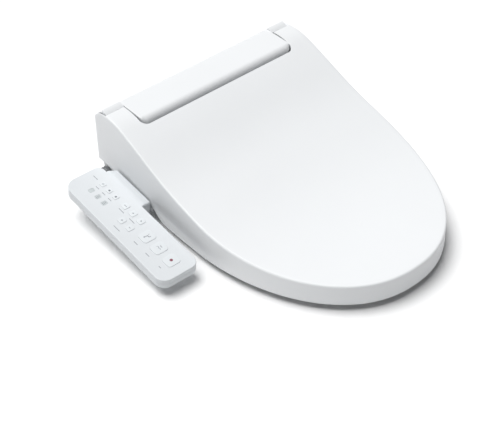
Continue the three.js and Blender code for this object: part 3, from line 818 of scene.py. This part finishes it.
def cover_bar(sizes):
    """The middle of the cover in (y, z): a flat-topped bar, rounded over in front, whose lower
    face slopes forward under the lid. Its front corners are rounded in plan."""
    front = -26 * MM
    flat = 8 * MM
    foot = SHOULDER_TOP - 1 * MM
    roof = roof_line(WING_FRONT, flat, count=6)
    nose = np.array([(-24.2, 141), (-26, 122.2), (-114, 52)]) * MM
    points = np.concatenate([[(BODY_FRONT, foot), (WING_FRONT, foot)], roof, nose])
    bends = np.array([0, 0] + [0] * len(roof) + [11, 2.5, 7]) * MM
    radius = sizes.corner_radius - 2.5 * MM

    def round_corners(verts):
        upper = ease(verts[..., 2], 116 * MM, 122 * MM)
        return corner_warp(verts, COVER_HALF, front, radius, (-1, 1), upper)

    steps = np.arange(1.5 * MM, radius + 2 * MM, 1 * MM)
    between = np.concatenate([steps - COVER_HALF, (COVER_HALF - steps)[::-1]])
    return prism("top_cover_shell", rounded(points, bends, 10), -COVER_HALF, COVER_HALF, 1.4 * MM,
                 plane="yz", between=between, warp=round_corners)


def cover_rear():
    """The cover behind the bar, in (y, z): roof and rear wall, as wide as the bar."""
    foot = SHOULDER_TOP - 1 * MM
    roof = roof_line(50 * MM, WING_FRONT)
    points = np.concatenate([[(WING_FRONT, foot), (BODY_REAR, foot), (BODY_REAR, crest(BODY_REAR))], roof])
    outline = rounded(points, [0, 0, 8 * MM] + [0] * len(roof))
    return prism("cover_rear", outline, -COVER_HALF, COVER_HALF, plane="yz")


def cover_wing(side, wall):
    """The cover beside the bar, in (y, z): a roof and a rear wall over the hinge. The roof's
    front is an arc about the hinge line, inside the sweep of the lid's ears."""
    turn = np.arccos((WING_FRONT - HINGE.y) / SWEEP) - np.linspace(0.42, 0, 7)
    arc = np.array(HINGE.yz) + SWEEP * circle(turn)
    under = HINGE.z + 19.6 * MM
    roof = roof_line(50 * MM, arc[0, 0] + 0.5 * MM, count=10)
    ceiling = roof_line(36 * MM, BODY_REAR - wall - 2 * MM, wall, 6)
    points = np.concatenate([
        [(BODY_REAR - wall, 35 * MM), (BODY_REAR, 35 * MM), (BODY_REAR, crest(BODY_REAR))], roof, arc,
        [(WING_FRONT, under)], ceiling, [(BODY_REAR - wall, crest(BODY_REAR) - wall)]])
    bends = np.zeros(len(points))
    bends[2] = 8 * MM
    ends, edges = (COVER_HALF, WING_HALF), (0, 1.2 * MM)
    if side < 0:
        ends, edges = (-WING_HALF, -COVER_HALF), edges[::-1]
    return prism("cover_wing", rounded(points, bends), *ends, edges, plane="yz")


class BIDET_OT_top_cover(bpy.types.Operator):
    """Makes the top cover: the bar between the lid's ears, the roof over the hinge, the slope
    that the lid hides, and the shoulder that closes the case"""

    bl_idname = "bidet.top_cover"
    bl_label = "Top Cover"

    def execute(self, context):
        sizes = context.scene.bidet_sizes
        wall = sizes.shell_wall
        plan = box_outline(-BODY_HALF, BODY_HALF, BODY_FRONT, BODY_REAR, BODY_CORNER)
        shoulder = prism("shoulder", plan, 34 * MM, SHOULDER_TOP, (0.3 * MM, 0.9 * MM))
        wings = [cover_wing(side, wall) for _, side in SIDES]
        cover = cut(cover_bar(sizes), "UNION", cover_rear(), *wings, shoulder)
        inside = np.concatenate([
            np.array([(-111, 30), (53, 30), (53, 118)]) * MM, roof_line(50 * MM, 8 * MM, wall, 8),
            np.array([(-21.2, 138), (-23, 120.2), (-111, 49.8)]) * MM])
        bends = np.array([0, 0, 0] + [0] * 8 + [8, 2, 5]) * MM
        hollow_half = COVER_HALF - 6 * MM
        hollow = prism("hollow", rounded(inside, bends), -hollow_half, hollow_half, plane="yz")
        cut(cover, "DIFFERENCE", hollow)
        dress(keep_flat(cover), "main_body", "gloss_white", ["top_cover"])
        return {"FINISHED"}


def box_form(name, low, high, radius=0.0, edge=0.0):
    """A block between two corners, its plan's corners and its rims rounded."""
    return prism(name, box_outline(low[0], high[0], low[1], high[1], radius), low[2], high[2], edge)


class BIDET_OT_base_case(bpy.types.Operator):
    """Makes the base case: a tray with a soft lower edge, a port for the nozzle, a recess for
    the mounting plate and a window for the filter"""

    bl_idname = "bidet.base_case"
    bl_label = "Base Case"

    def execute(self, context):
        sizes = context.scene.bidet_sizes
        wall = sizes.shell_wall
        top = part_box("base_case")[1].z
        low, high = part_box("mounting_plate")
        gap = Vector((0.3, 0.3, 0.3)) * MM
        plan = box_outline(-BODY_HALF, BODY_HALF, BODY_FRONT, BODY_REAR, BODY_CORNER)
        case = prism("base_case_tray", plan, 0, top, (3 * MM, 0.6 * MM))
        inner, above = BODY_HALF - wall, 100 * MM
        hollow = box_form("hollow", (-inner, BODY_FRONT + wall, wall),
                          (inner, BODY_REAR - wall, above), 7 * MM)
        rim, pad_low, pad_high = 5 * MM, 1 * MM, 8 * MM
        pad = box_form("pad", (low.x - rim, low.y - rim, pad_low), (high.x + rim, high.y + rim, pad_high))
        recess = box_form("recess", low - gap - Vector((0, 0, 1 * MM)), high + gap)
        port = turned("port", bar_profile(NOZZLE_RADIUS + 1.2 * MM, -12 * MM, 20 * MM, 0), NOZZLE_PLACE)
        low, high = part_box("deodoriser_filter")
        window = box_form("window", low - gap, high + gap + Vector((5 * MM, 0, 0)))
        cut(case, "DIFFERENCE", hollow)
        cut(case, "UNION", pad)
        cut(case, "DIFFERENCE", recess, port, window)
        dress(keep_flat(case), "main_body", "case_white", ["base_case"])
        return {"FINISHED"}


class BIDET_OT_fittings(bpy.types.Operator):
    """Makes the fittings in the case's sides: a ribbed hose tail, a drain plug with a coin slot,
    a grooved cord gland and a slotted filter"""

    bl_idname = "bidet.fittings"
    bl_label = "Side Fittings"

    def execute(self, context):
        makers = {
            "inlet_connector": (self.hose_tail, -1), "drain_plug": (self.drain_plug, -1),
            "cord_gland": (self.cord_gland, 1)}
        for node, (make, side) in makers.items():
            low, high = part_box(node)
            place = pointing(side, (low.y + high.y) / 2, (low.z + high.z) / 2)
            dress(make(low, high, place), "main_body", "grey_plastic", [node])
        node = "deodoriser_filter"
        dress(self.filter(*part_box(node)), "main_body", "grey_plastic", [node])
        return {"FINISHED"}

    def hose_tail(self, low, high, place):
        """A stepped bar with barbed ribs and a blind bore."""
        outer, inner = -low.x, -high.x
        ribs, neck, bore, depth, chamfer = 5, 8.5 * MM, 5 * MM, 14 * MM, 0.5 * MM
        start = BODY_HALF + 2 * MM
        pitch = (outer - start - 2 * MM) / ribs
        profile = [(neck, inner), (neck, start)]
        for rib in range(ribs):
            for share, proud in ((0, 0), (0.15, 1.8), (0.3, 2), (0.5, 1.7), (0.62, 0)):
                profile.append((neck + proud * MM, start + (rib + share) * pitch))
        profile += [(neck, outer - chamfer), (neck - chamfer, outer), (bore + chamfer, outer),
                    (bore, outer - chamfer), (bore, outer - depth), (chamfer, outer - depth)]
        return turned("hose_tail", profile, place)

    def drain_plug(self, low, high, place):
        """A round head on a thinner neck, with a slot for a coin."""
        wall, head = BODY_HALF + 0.3 * MM, (high.z - low.z) / 2
        neck = head - 2.5 * MM
        profile = np.concatenate([[(neck, -high.x), (neck, wall)], bar_profile(head, wall, -low.x, 1 * MM)])
        middle = (low.z + high.z) / 2
        slot = box_form("slot", (low.x - 5 * MM, low.y + 3 * MM, middle - 1 * MM),
                        (low.x + 1.6 * MM, high.y - 3 * MM, middle + 1 * MM))
        return cut(turned("drain_plug_head", profile, place), "DIFFERENCE", slot)

    def cord_gland(self, low, high, place):
        """A flange against the wall, and a grooved sleeve that lets the cord bend."""
        body, bore, groove_depth, chamfer = 6.5 * MM, 3.6 * MM, 1.2 * MM, 0.8 * MM
        wall, flange = BODY_HALF + 0.3 * MM, 190 * MM
        profile = [(bore, low.x), (body, low.x), (body, wall)]
        profile += bar_profile((high.z - low.z) / 2, wall, flange, chamfer).tolist()
        profile.append((body, flange))
        for groove in np.arange(192, 199, 2.2) * MM:
            profile += [(body, groove), (body - groove_depth, groove + 0.3 * MM),
                        (body - groove_depth, groove + 1 * MM), (body, groove + 1.3 * MM)]
        profile += [(body, high.x - chamfer), (body - chamfer, high.x), (bore, high.x)]
        return turned("cord_gland_sleeve", profile, place, ring=True)

    def filter(self, low, high):
        """A cassette with upright slots in its face."""
        outline = box_outline(low.y, high.y, low.z, high.z, 2 * MM)
        body = prism("filter_grille", outline, low.x, high.x, (0, 0.6 * MM), plane="yz")
        half, border = 1.1 * MM, 3 * MM
        slots = [
            prism("slot", box_outline(y - half, y + half, low.z + border, high.z - border, 1 * MM),
                  high.x - 6 * MM, high.x + 2 * MM, plane="yz")
            for y in np.linspace(low.y + 5 * MM, high.y - 5 * MM, 9)]
        return keep_flat(cut(body, "DIFFERENCE", joined("slots", slots)))


class BIDET_OT_mounting(bpy.types.Operator):
    """Makes the slotted mounting plate under the body, and the hinge pins"""

    bl_idname = "bidet.mounting"
    bl_label = "Mounting Plate and Pins"

    def execute(self, context):
        low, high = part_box("mounting_plate")
        plate = box_form("mounting_bracket", low, high, 3 * MM, 0.5 * MM)
        for _, side in SIDES:
            middle, long, wide = side * 70 * MM, 17 * MM, 6 * MM
            slot = box_form("slot", (middle - long, -wide, -10 * MM),
                            (middle + long, wide, 10 * MM), 5.99 * MM)
            cut(plate, "DIFFERENCE", slot)
        dress(keep_flat(plate), "main_body", "steel", ["mounting_plate"])
        for word, side in SIDES:
            low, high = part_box(f"hinge_pin_{word}")
            ends = sorted((abs(low.x), abs(high.x)))
            profile = bar_profile(PIN_RADIUS, *ends, 0.8 * MM)
            pin = turned(f"hinge_shaft_{word}", profile, on_hinge(side))
            dress(pin, "main_body", "steel", [f"hinge_pin_{word}"])
        return {"FINISHED"}


class BIDET_OT_nozzle(bpy.types.Operator):
    """Makes the wash nozzle: a tube, and a rounded tip with a collar and spray holes"""

    bl_idname = "bidet.nozzle"
    bl_label = "Wash Nozzle"

    def execute(self, context):
        near, far = local_box("nozzle", NOZZLE_PLACE)
        tube = turned("nozzle_tube", bar_profile(NOZZLE_RADIUS, near[1], far[1], 0.4 * MM), NOZZLE_PLACE, 40)
        dress(tube, "nozzle", "case_white", ["nozzle"])
        near, far = local_box("nozzle_tip", NOZZLE_PLACE)
        dome = np.linspace(0.12, math.pi / 2, 8)
        depth = 3 * MM
        groove = NOZZLE_RADIUS - 0.4 * MM
        profile = np.concatenate([
            np.stack([NOZZLE_RADIUS * np.sin(dome), near[1] + depth * (1 - np.cos(dome))], -1),
            [(NOZZLE_RADIUS, far[1] - 3 * MM), (groove, far[1] - 2.7 * MM), (groove, far[1] - 2.1 * MM),
             (NOZZLE_RADIUS, far[1] - 1.8 * MM), (NOZZLE_RADIUS, far[1])]])
        tip = turned("nozzle_head", profile, NOZZLE_PLACE, 40)
        upward = Matrix.Rotation(math.pi / 2, 4, "X")
        holes = [
            turned("hole", bar_profile(radius * MM, 3 * MM, 8 * MM, 0),
                   NOZZLE_PLACE @ Matrix.Translation((0, y * MM, 0)) @ upward, 20)
            for y, radius in ((4.6, 0.9), (7.6, 0.7), (9.8, 0.7))]
        dress(cut(tip, "DIFFERENCE", *holes), "nozzle", "steel", ["nozzle_tip"])
        return {"FINISHED"}


# ------------------------------------------------------------------------------ control panel
def panel_outline():
    """The panel's plan in its own frame, with a radius for each corner."""
    low, high = local_box("panel_cover", PANEL_PLACE)
    return box_outline(low[0], high[0], low[1], high[1], np.array([18, 15, 12, 21]) * MM, 12)


def key_outline(node, grow=0.0):
    """The plan of a key or a window, grown by a gap all round."""
    low, high = local_box(node, PANEL_PLACE)
    corner = 0.23 * min(high[0] - low[0], high[1] - low[1]) + grow
    return box_outline(low[0] - grow, high[0] + grow, low[1] - grow, high[1] + grow, corner, 6)


KEYS = [node for node in frame["nodes"] if node.startswith("key_")]
WINDOWS = [node for node in frame["nodes"] if node.endswith("_window")]
KEY_CROWN = 0.2 * MM
HOLE_DEPTH = 7.4 * MM
PANEL_FOOT = -17 * MM
PANEL_SEAM = 0.3 * MM
INK_ROOT = 0.3 * MM


def arm_section(corners, across, high):
    """A rounded rectangle laid between four corners, listed round from the front's lower one."""
    flat = box_outline(0, across, 0, high, 3 * MM, 6) / [across, high]
    a, b = flat[:, :1], flat[:, 1:]
    front_low, rear_low, rear_high, front_high = np.asarray(corners)
    return ((1 - a) * (1 - b) * front_low + a * (1 - b) * rear_low
            + a * b * rear_high + (1 - a) * b * front_high)


class BIDET_OT_panel(bpy.types.Operator):
    """Makes the panel: a cover with an opening for each key, the base below it, and the arm that
    runs from its inner side down to the body, level with its top where they meet"""

    bl_idname = "bidet.panel"
    bl_label = "Control Panel"

    def execute(self, context):
        sizes = context.scene.bidet_sizes
        edge = sizes.panel_edge_radius
        low, high = local_box("panel_cover", PANEL_PLACE)
        cover = prism("panel_upper", panel_outline(), low[2], high[2], (0.25 * MM, edge), place=PANEL_PLACE)
        holes = [prism("hole", key_outline(node, sizes.key_gap), -HOLE_DEPTH, 5 * MM, place=PANEL_PLACE)
                 for node in KEYS + WINDOWS]
        cut(cover, "DIFFERENCE", joined("holes", holes))
        dress(keep_flat(cover), "main_body", "panel_white", ["panel_cover"])

        base = prism("panel_lower", panel_outline(), PANEL_FOOT, low[2] - PANEL_SEAM, (edge, 0.25 * MM),
                     place=PANEL_PLACE)
        dress(keep_flat(base), "main_body", "panel_white", ["panel_base"])
        dress(self.arm(high[0]), "main_body", "panel_white")
        return {"FINISHED"}

    def arm(self, edge):
        """Sections from inside the panel, past its inner edge and on to the lid's side, level with
        the panel's top at first and sinking on the way. A foot goes on under the lid's skirt to the
        body's wall."""
        front, rear, top, foot = 16 * MM, 112 * MM, -0.15 * MM, -16 * MM
        brow, under_skirt, sink = 54.6 * MM, 16 * MM, 7 * MM

        def in_panel(x, first):
            return moved([(x, first, foot), (x, rear, foot), (x, rear, top), (x, first, top)], PANEL_PLACE)

        def at_wall(x, low, high):
            return np.array([(x, -79, low), (x, -4, low), (x, -4, high), (x, -79, high)]) * MM

        sections = [in_panel(edge - 6 * MM, front), in_panel(edge + 0.4 * MM, front)]
        last = in_panel(brow, front + 6 * MM)
        for t in np.linspace(0, 1, 9)[1:]:
            mixed = sections[1] + (last - sections[1]) * t
            mixed[:2, 2] += (under_skirt - mixed[:2, 2]) * ease(t, 0, 1)
            mixed[2:, 2] -= sink * ease(t, 0, 1.1)
            sections.append(mixed)
        shoulder = loft("panel_arm", np.stack([arm_section(s, 96 * MM, 15 * MM) for s in sections]))
        steps = [at_wall(-204, 17, 36), at_wall(-187.2, 12, 35.4)]
        under = loft("panel_arm_foot", np.stack([arm_section(s, 75 * MM, 19 * MM) for s in steps]))
        return joined("panel_arm", [shoulder, under])


class BIDET_OT_keys(bpy.types.Operator):
    """Makes the keys, each with a rounded rim and a slightly pillowed top, on its own body"""

    bl_idname = "bidet.keys"
    bl_label = "Keys"

    def execute(self, context):
        sizes = context.scene.bidet_sizes
        for node in KEYS:
            low, high = local_box(node, PANEL_PLACE)
            cap = prism(node + "_cap", key_outline(node), low[2], high[2], (0, sizes.key_edge_radius),
                        place=PANEL_PLACE, crown=KEY_CROWN)
            dress(cap, node, "key_white", [node])
        for node in WINDOWS:
            low, high = local_box(node, PANEL_PLACE)
            pane = prism(node + "_pane", key_outline(node), low[2], high[2], (0, 0.2 * MM),
                         place=PANEL_PLACE, crown=0.08 * MM)
            dress(pane, "main_body", "window", [node])
        return {"FINISHED"}


# ------------------------------------------------------------------------------ printed marks
def dot(u, v, radius):
    """A round spot."""
    return [u, v] + radius * circle(np.linspace(0, 2 * math.pi, 20, endpoint=False))


def stroke(u0, v0, u1, v1, width):
    """A straight line with round ends."""
    heading = math.atan2(v1 - v0, u1 - u0)
    end = width / 2 * circle(np.linspace(-math.pi / 2, math.pi / 2, 6) + heading)
    return np.concatenate([[u1, v1] + end, [u0, v0] - end])


def bow(u, v, radius, start, stop, width):
    """Part of a ring, between two angles in degrees."""
    way = circle(np.radians(np.linspace(start, stop, 18)))
    return [u, v] + np.concatenate([way * (radius + width / 2), (way * (radius - width / 2))[::-1]])


def arrow(u, v, size, direction):
    """A triangle that points along u."""
    return [u, v] + direction * size * circle(np.radians([0, 120, 240]))


# marks on the keys, in millimetres along and up each key
PICTURES = {
    "key_stop": [dot(0, 0, 2.6)],
    "key_rear_wash": [bow(-2.1, 1.6, 2.3, 190, 350, 0.7), bow(2.1, 1.6, 2.3, 190, 350, 0.7),
                      stroke(0, -5.2, 0, -3.2, 0.7), stroke(-2.2, -5.2, -1.3, -3.4, 0.7),
                      stroke(2.2, -5.2, 1.3, -3.4, 0.7)],
    "key_front_wash": [dot(1.4, 4.4, 1.3), stroke(1.2, 2.4, 0.6, -1.2, 1.3),
                       stroke(0.6, -1.2, -2.8, -1.4, 1.3), stroke(-2.8, -1.4, -3.2, -4.6, 1.0),
                       stroke(1.8, -5.2, 1.6, -3.2, 0.7)],
    "key_pressure_less": [stroke(-1.6, 0, 1.6, 0, 0.8)],
    "key_pressure_more": [stroke(-1.6, 0, 1.6, 0, 0.8), stroke(0, -1.6, 0, 1.6, 0.8)],
    "key_nozzle_back": [arrow(-0.2, 0, 1.9, -1)],
    "key_nozzle_forward": [arrow(0.2, 0, 1.9, 1)],
    "key_move": [arrow(-1.9, 0, 1.3, -1), arrow(1.9, 0, 1.3, 1), stroke(-0.8, 0, 0.8, 0, 0.6)],
    "key_water_heat": [bow(0, 0, 1.5, 0, 360, 0.6), stroke(0, -0.6, 0, 0.6, 0.6)],
    "key_seat_heat": [bow(0, 0, 1.5, 0, 360, 0.6), stroke(-0.6, 0, 0.6, 0, 0.6)],
    "key_power_save": [bow(0, -0.2, 1.5, -230, 50, 0.6), stroke(0, 0.3, 0, 2.0, 0.6)],
}
# rows of dashes that stand for words: place across and along the panel, and length
LABELS = [
    (-18.2, -98, 5), (-18.2, -67.6, 9), (-18.2, -38.6, 9), (-23.5, 2.7, 15), (4.2, 1.5, 13), (4, 28, 13),
    (3.6, 58, 8), (3.4, 73.6, 8), (3.3, 89.9, 8), (13.7, 109.5, 11)]


def dashes(across, along, long):
    """Short strokes in a row, a little apart, as long as the words they stand for."""
    count = max(2, round(long / 2.4))
    pitch = long / count
    starts = along - long / 2 + pitch * np.arange(count)
    return [stroke(u, -across, u + pitch * 0.62, -across, 1.1) for u in starts]


def level_bars(node):
    """Three bars of rising length across a level window."""
    low, high = local_box(node, PANEL_PLACE)
    middle, across = (low[1] + high[1]) / 2 / MM, (low[0] + high[0]) / 2 / MM
    return [stroke(middle - half, -across + v, middle + half, -across + v, 0.9)
            for v, half in ((-2.4, 1.0), (0, 1.6), (2.4, 2.2))]


def print_marks(name, shapes, height, sizes, u=0.0, v=0.0):
    """Thin raised solids of flat shapes. Along the panel is u, and across it, outwards, is v."""
    solids = []
    for shape in shapes:
        flat = np.asarray(shape) * MM + [u, v]
        outline = np.stack([-flat[:, 1], flat[:, 0]], -1)
        solids.append(prism("mark", outline, height - INK_ROOT, height + sizes.ink_height, place=PANEL_PLACE))
    return joined(name, solids)


class BIDET_OT_marks(bpy.types.Operator):
    """Prints a plain pictogram on each key, dashes where labels would be, and bars on the level
    windows"""

    bl_idname = "bidet.marks"
    bl_label = "Printed Marks"

    def execute(self, context):
        sizes = context.scene.bidet_sizes
        for node in KEYS:
            low, high = local_box(node, PANEL_PLACE)
            middle = (low + high) / 2
            top = high[2] + KEY_CROWN
            mark = print_marks(node + "_mark", PICTURES[node], top, sizes, middle[1], -middle[0])
            dress(mark, node, "stop_red" if node == "key_stop" else "ink")
        words = [shape for label in LABELS for shape in dashes(*label)]
        dress(print_marks("panel_labels", words, 0, sizes), "main_body", "ink")
        levels = [shape for node in WINDOWS if "level" in node for shape in level_bars(node)]
        dress(print_marks("level_marks", levels, 0, sizes), "main_body", "ink")
        return {"FINISHED"}


# ------------------------------------------------------------------------------ inside and stage
INSIDE = {
    "heater_foil": ["seat_heater", "heater_plate"],
    "case_white": ["water_heater", "hinge_bracket_left", "hinge_bracket_right"],
    "dark_plastic": ["inlet_valve", "power_module", "deodoriser_fan", "nozzle_guide"],
    "grey_plastic": ["soft_close_damper_left", "soft_close_damper_right", "heater_hose"],
    "board": ["circuit_board", "panel_board"],
    "steel": ["nozzle_motor", "case_screw_1", "case_screw_2", "case_screw_3", "case_screw_4"],
}


class BIDET_OT_inside(bpy.types.Operator):
    """Gives the parts inside the body and the seat their finishes"""

    bl_idname = "bidet.inside"
    bl_label = "Inner Parts"

    def execute(self, context):
        for slot, nodes in INSIDE.items():
            for node in nodes:
                mesh = frame["nodes"][node].data
                mesh.materials.clear()
                mesh.materials.append(finish_of(slot))
        return {"FINISHED"}


class BIDET_OT_stage(bpy.types.Operator):
    """Sets the floor, one wide soft light, the pale surroundings and the camera"""

    bl_idname = "bidet.stage"
    bl_label = "Stage"

    def execute(self, context):
        shade = context.scene.bidet_colours.floor
        reach = 6.0
        plain = [(-reach, -reach, 0), (reach, -reach, 0), (reach, reach, 0), (-reach, reach, 0)]
        floor = to_mesh("floor", plain, [[0, 1, 2, 3]], closed=False)
        paint = Finish("floor")
        cloud = paint.noise(3.0)
        paint.set(Base_Color=paint.blend(cloud, rgba(shade, 0.99), rgba(shade, 1.01)), Roughness=0.7)
        floor.data.materials.append(paint.material)

        self.surroundings(context, dim=0.14, pale=0.92)
        context.scene.view_settings.view_transform = "Standard"
        self.sky(context, "overhead", Vector((-0.18, 0.25, 0.95)), spread=46, strength=3.3)
        self.camera(context)
        return {"FINISHED"}

    def surroundings(self, context, dim, pale):
        """A studio that lights the piece dimly from all round, and is seen as a pale wall."""
        world = bpy.data.worlds.new("studio")
        context.scene.world = world
        world.use_nodes = True
        nodes, links = world.node_tree.nodes, world.node_tree.links
        glow = nodes["Background"]
        glow.inputs["Color"].default_value = (0.96, 0.98, 1.0, 1)
        strength = nodes.new("ShaderNodeMapRange")
        strength.inputs["To Min"].default_value, strength.inputs["To Max"].default_value = dim, pale
        links.new(nodes.new("ShaderNodeLightPath").outputs["Is Camera Ray"], strength.inputs["Value"])
        links.new(strength.outputs[0], glow.inputs["Strength"])

    def sky(self, context, name, direction, spread, strength):
        """A sun as wide as a soft box, from above and a little behind: even light, soft shadows."""
        light = bpy.data.lights.new(name, "SUN")
        light.angle, light.energy = math.radians(spread), strength
        lamp = bpy.data.objects.new(name, light)
        lamp.rotation_euler = direction.to_track_quat("Z", "Y").to_euler()
        context.scene.collection.objects.link(lamp)

    def camera(self, context):
        """A long lens, from the front left and above."""
        azimuth, elevation, distance = math.radians(-41.1), math.radians(41.83), 2.0
        target = Vector((-107, -221, 50)) * MM
        back = Vector((math.sin(azimuth) * math.cos(elevation), -math.cos(azimuth) * math.cos(elevation),
                       math.sin(elevation)))
        camera = bpy.data.objects.new("camera", bpy.data.cameras.new("camera"))
        camera.data.sensor_width, camera.data.lens = 36, 94.118
        camera.location = target + back * distance
        camera.rotation_euler = (-back).to_track_quat("-Z", "Y").to_euler()
        context.scene.collection.objects.link(camera)
        context.scene.camera = camera


# ------------------------------------------------------------------------------ add-on
PIECES = (
    BIDET_OT_lid, BIDET_OT_bumpers, BIDET_OT_seat, BIDET_OT_top_cover, BIDET_OT_base_case, BIDET_OT_fittings,
    BIDET_OT_mounting, BIDET_OT_nozzle, BIDET_OT_panel, BIDET_OT_keys, BIDET_OT_marks, BIDET_OT_inside,
    BIDET_OT_stage)


class BIDET_PT_panel(bpy.types.Panel):
    """Lists the pieces, the sizes and the colours"""

    bl_idname = "BIDET_PT_panel"
    bl_label = "Bidet Seat"
    bl_space_type = "VIEW_3D"
    bl_region_type = "UI"
    bl_category = "Bidet Seat"

    def draw(self, context):
        for piece in PIECES:
            self.layout.operator(piece.bl_idname)
        for group in (context.scene.bidet_sizes, context.scene.bidet_colours):
            box = self.layout.box()
            for name in group.bl_rna.properties.keys():
                if name not in ("rna_type", "name"):
                    box.prop(group, name)


CLASSES = (BidetSizes, BidetColours, *PIECES, BIDET_PT_panel)


def register():
    for item in CLASSES:
        bpy.utils.register_class(item)
    bpy.types.Scene.bidet_sizes = bpy.props.PointerProperty(type=BidetSizes)
    bpy.types.Scene.bidet_colours = bpy.props.PointerProperty(type=BidetColours)


def unregister():
    del bpy.types.Scene.bidet_colours
    del bpy.types.Scene.bidet_sizes
    for item in reversed(CLASSES):
        bpy.utils.unregister_class(item)


def main():
    """Makes every piece around the frame."""
    register()
    for piece in PIECES:
        group, name = piece.bl_idname.split(".")
        getattr(getattr(bpy.ops, group), name)()
    bpy.context.view_layer.update()


if __name__ == "__main__":
    main()
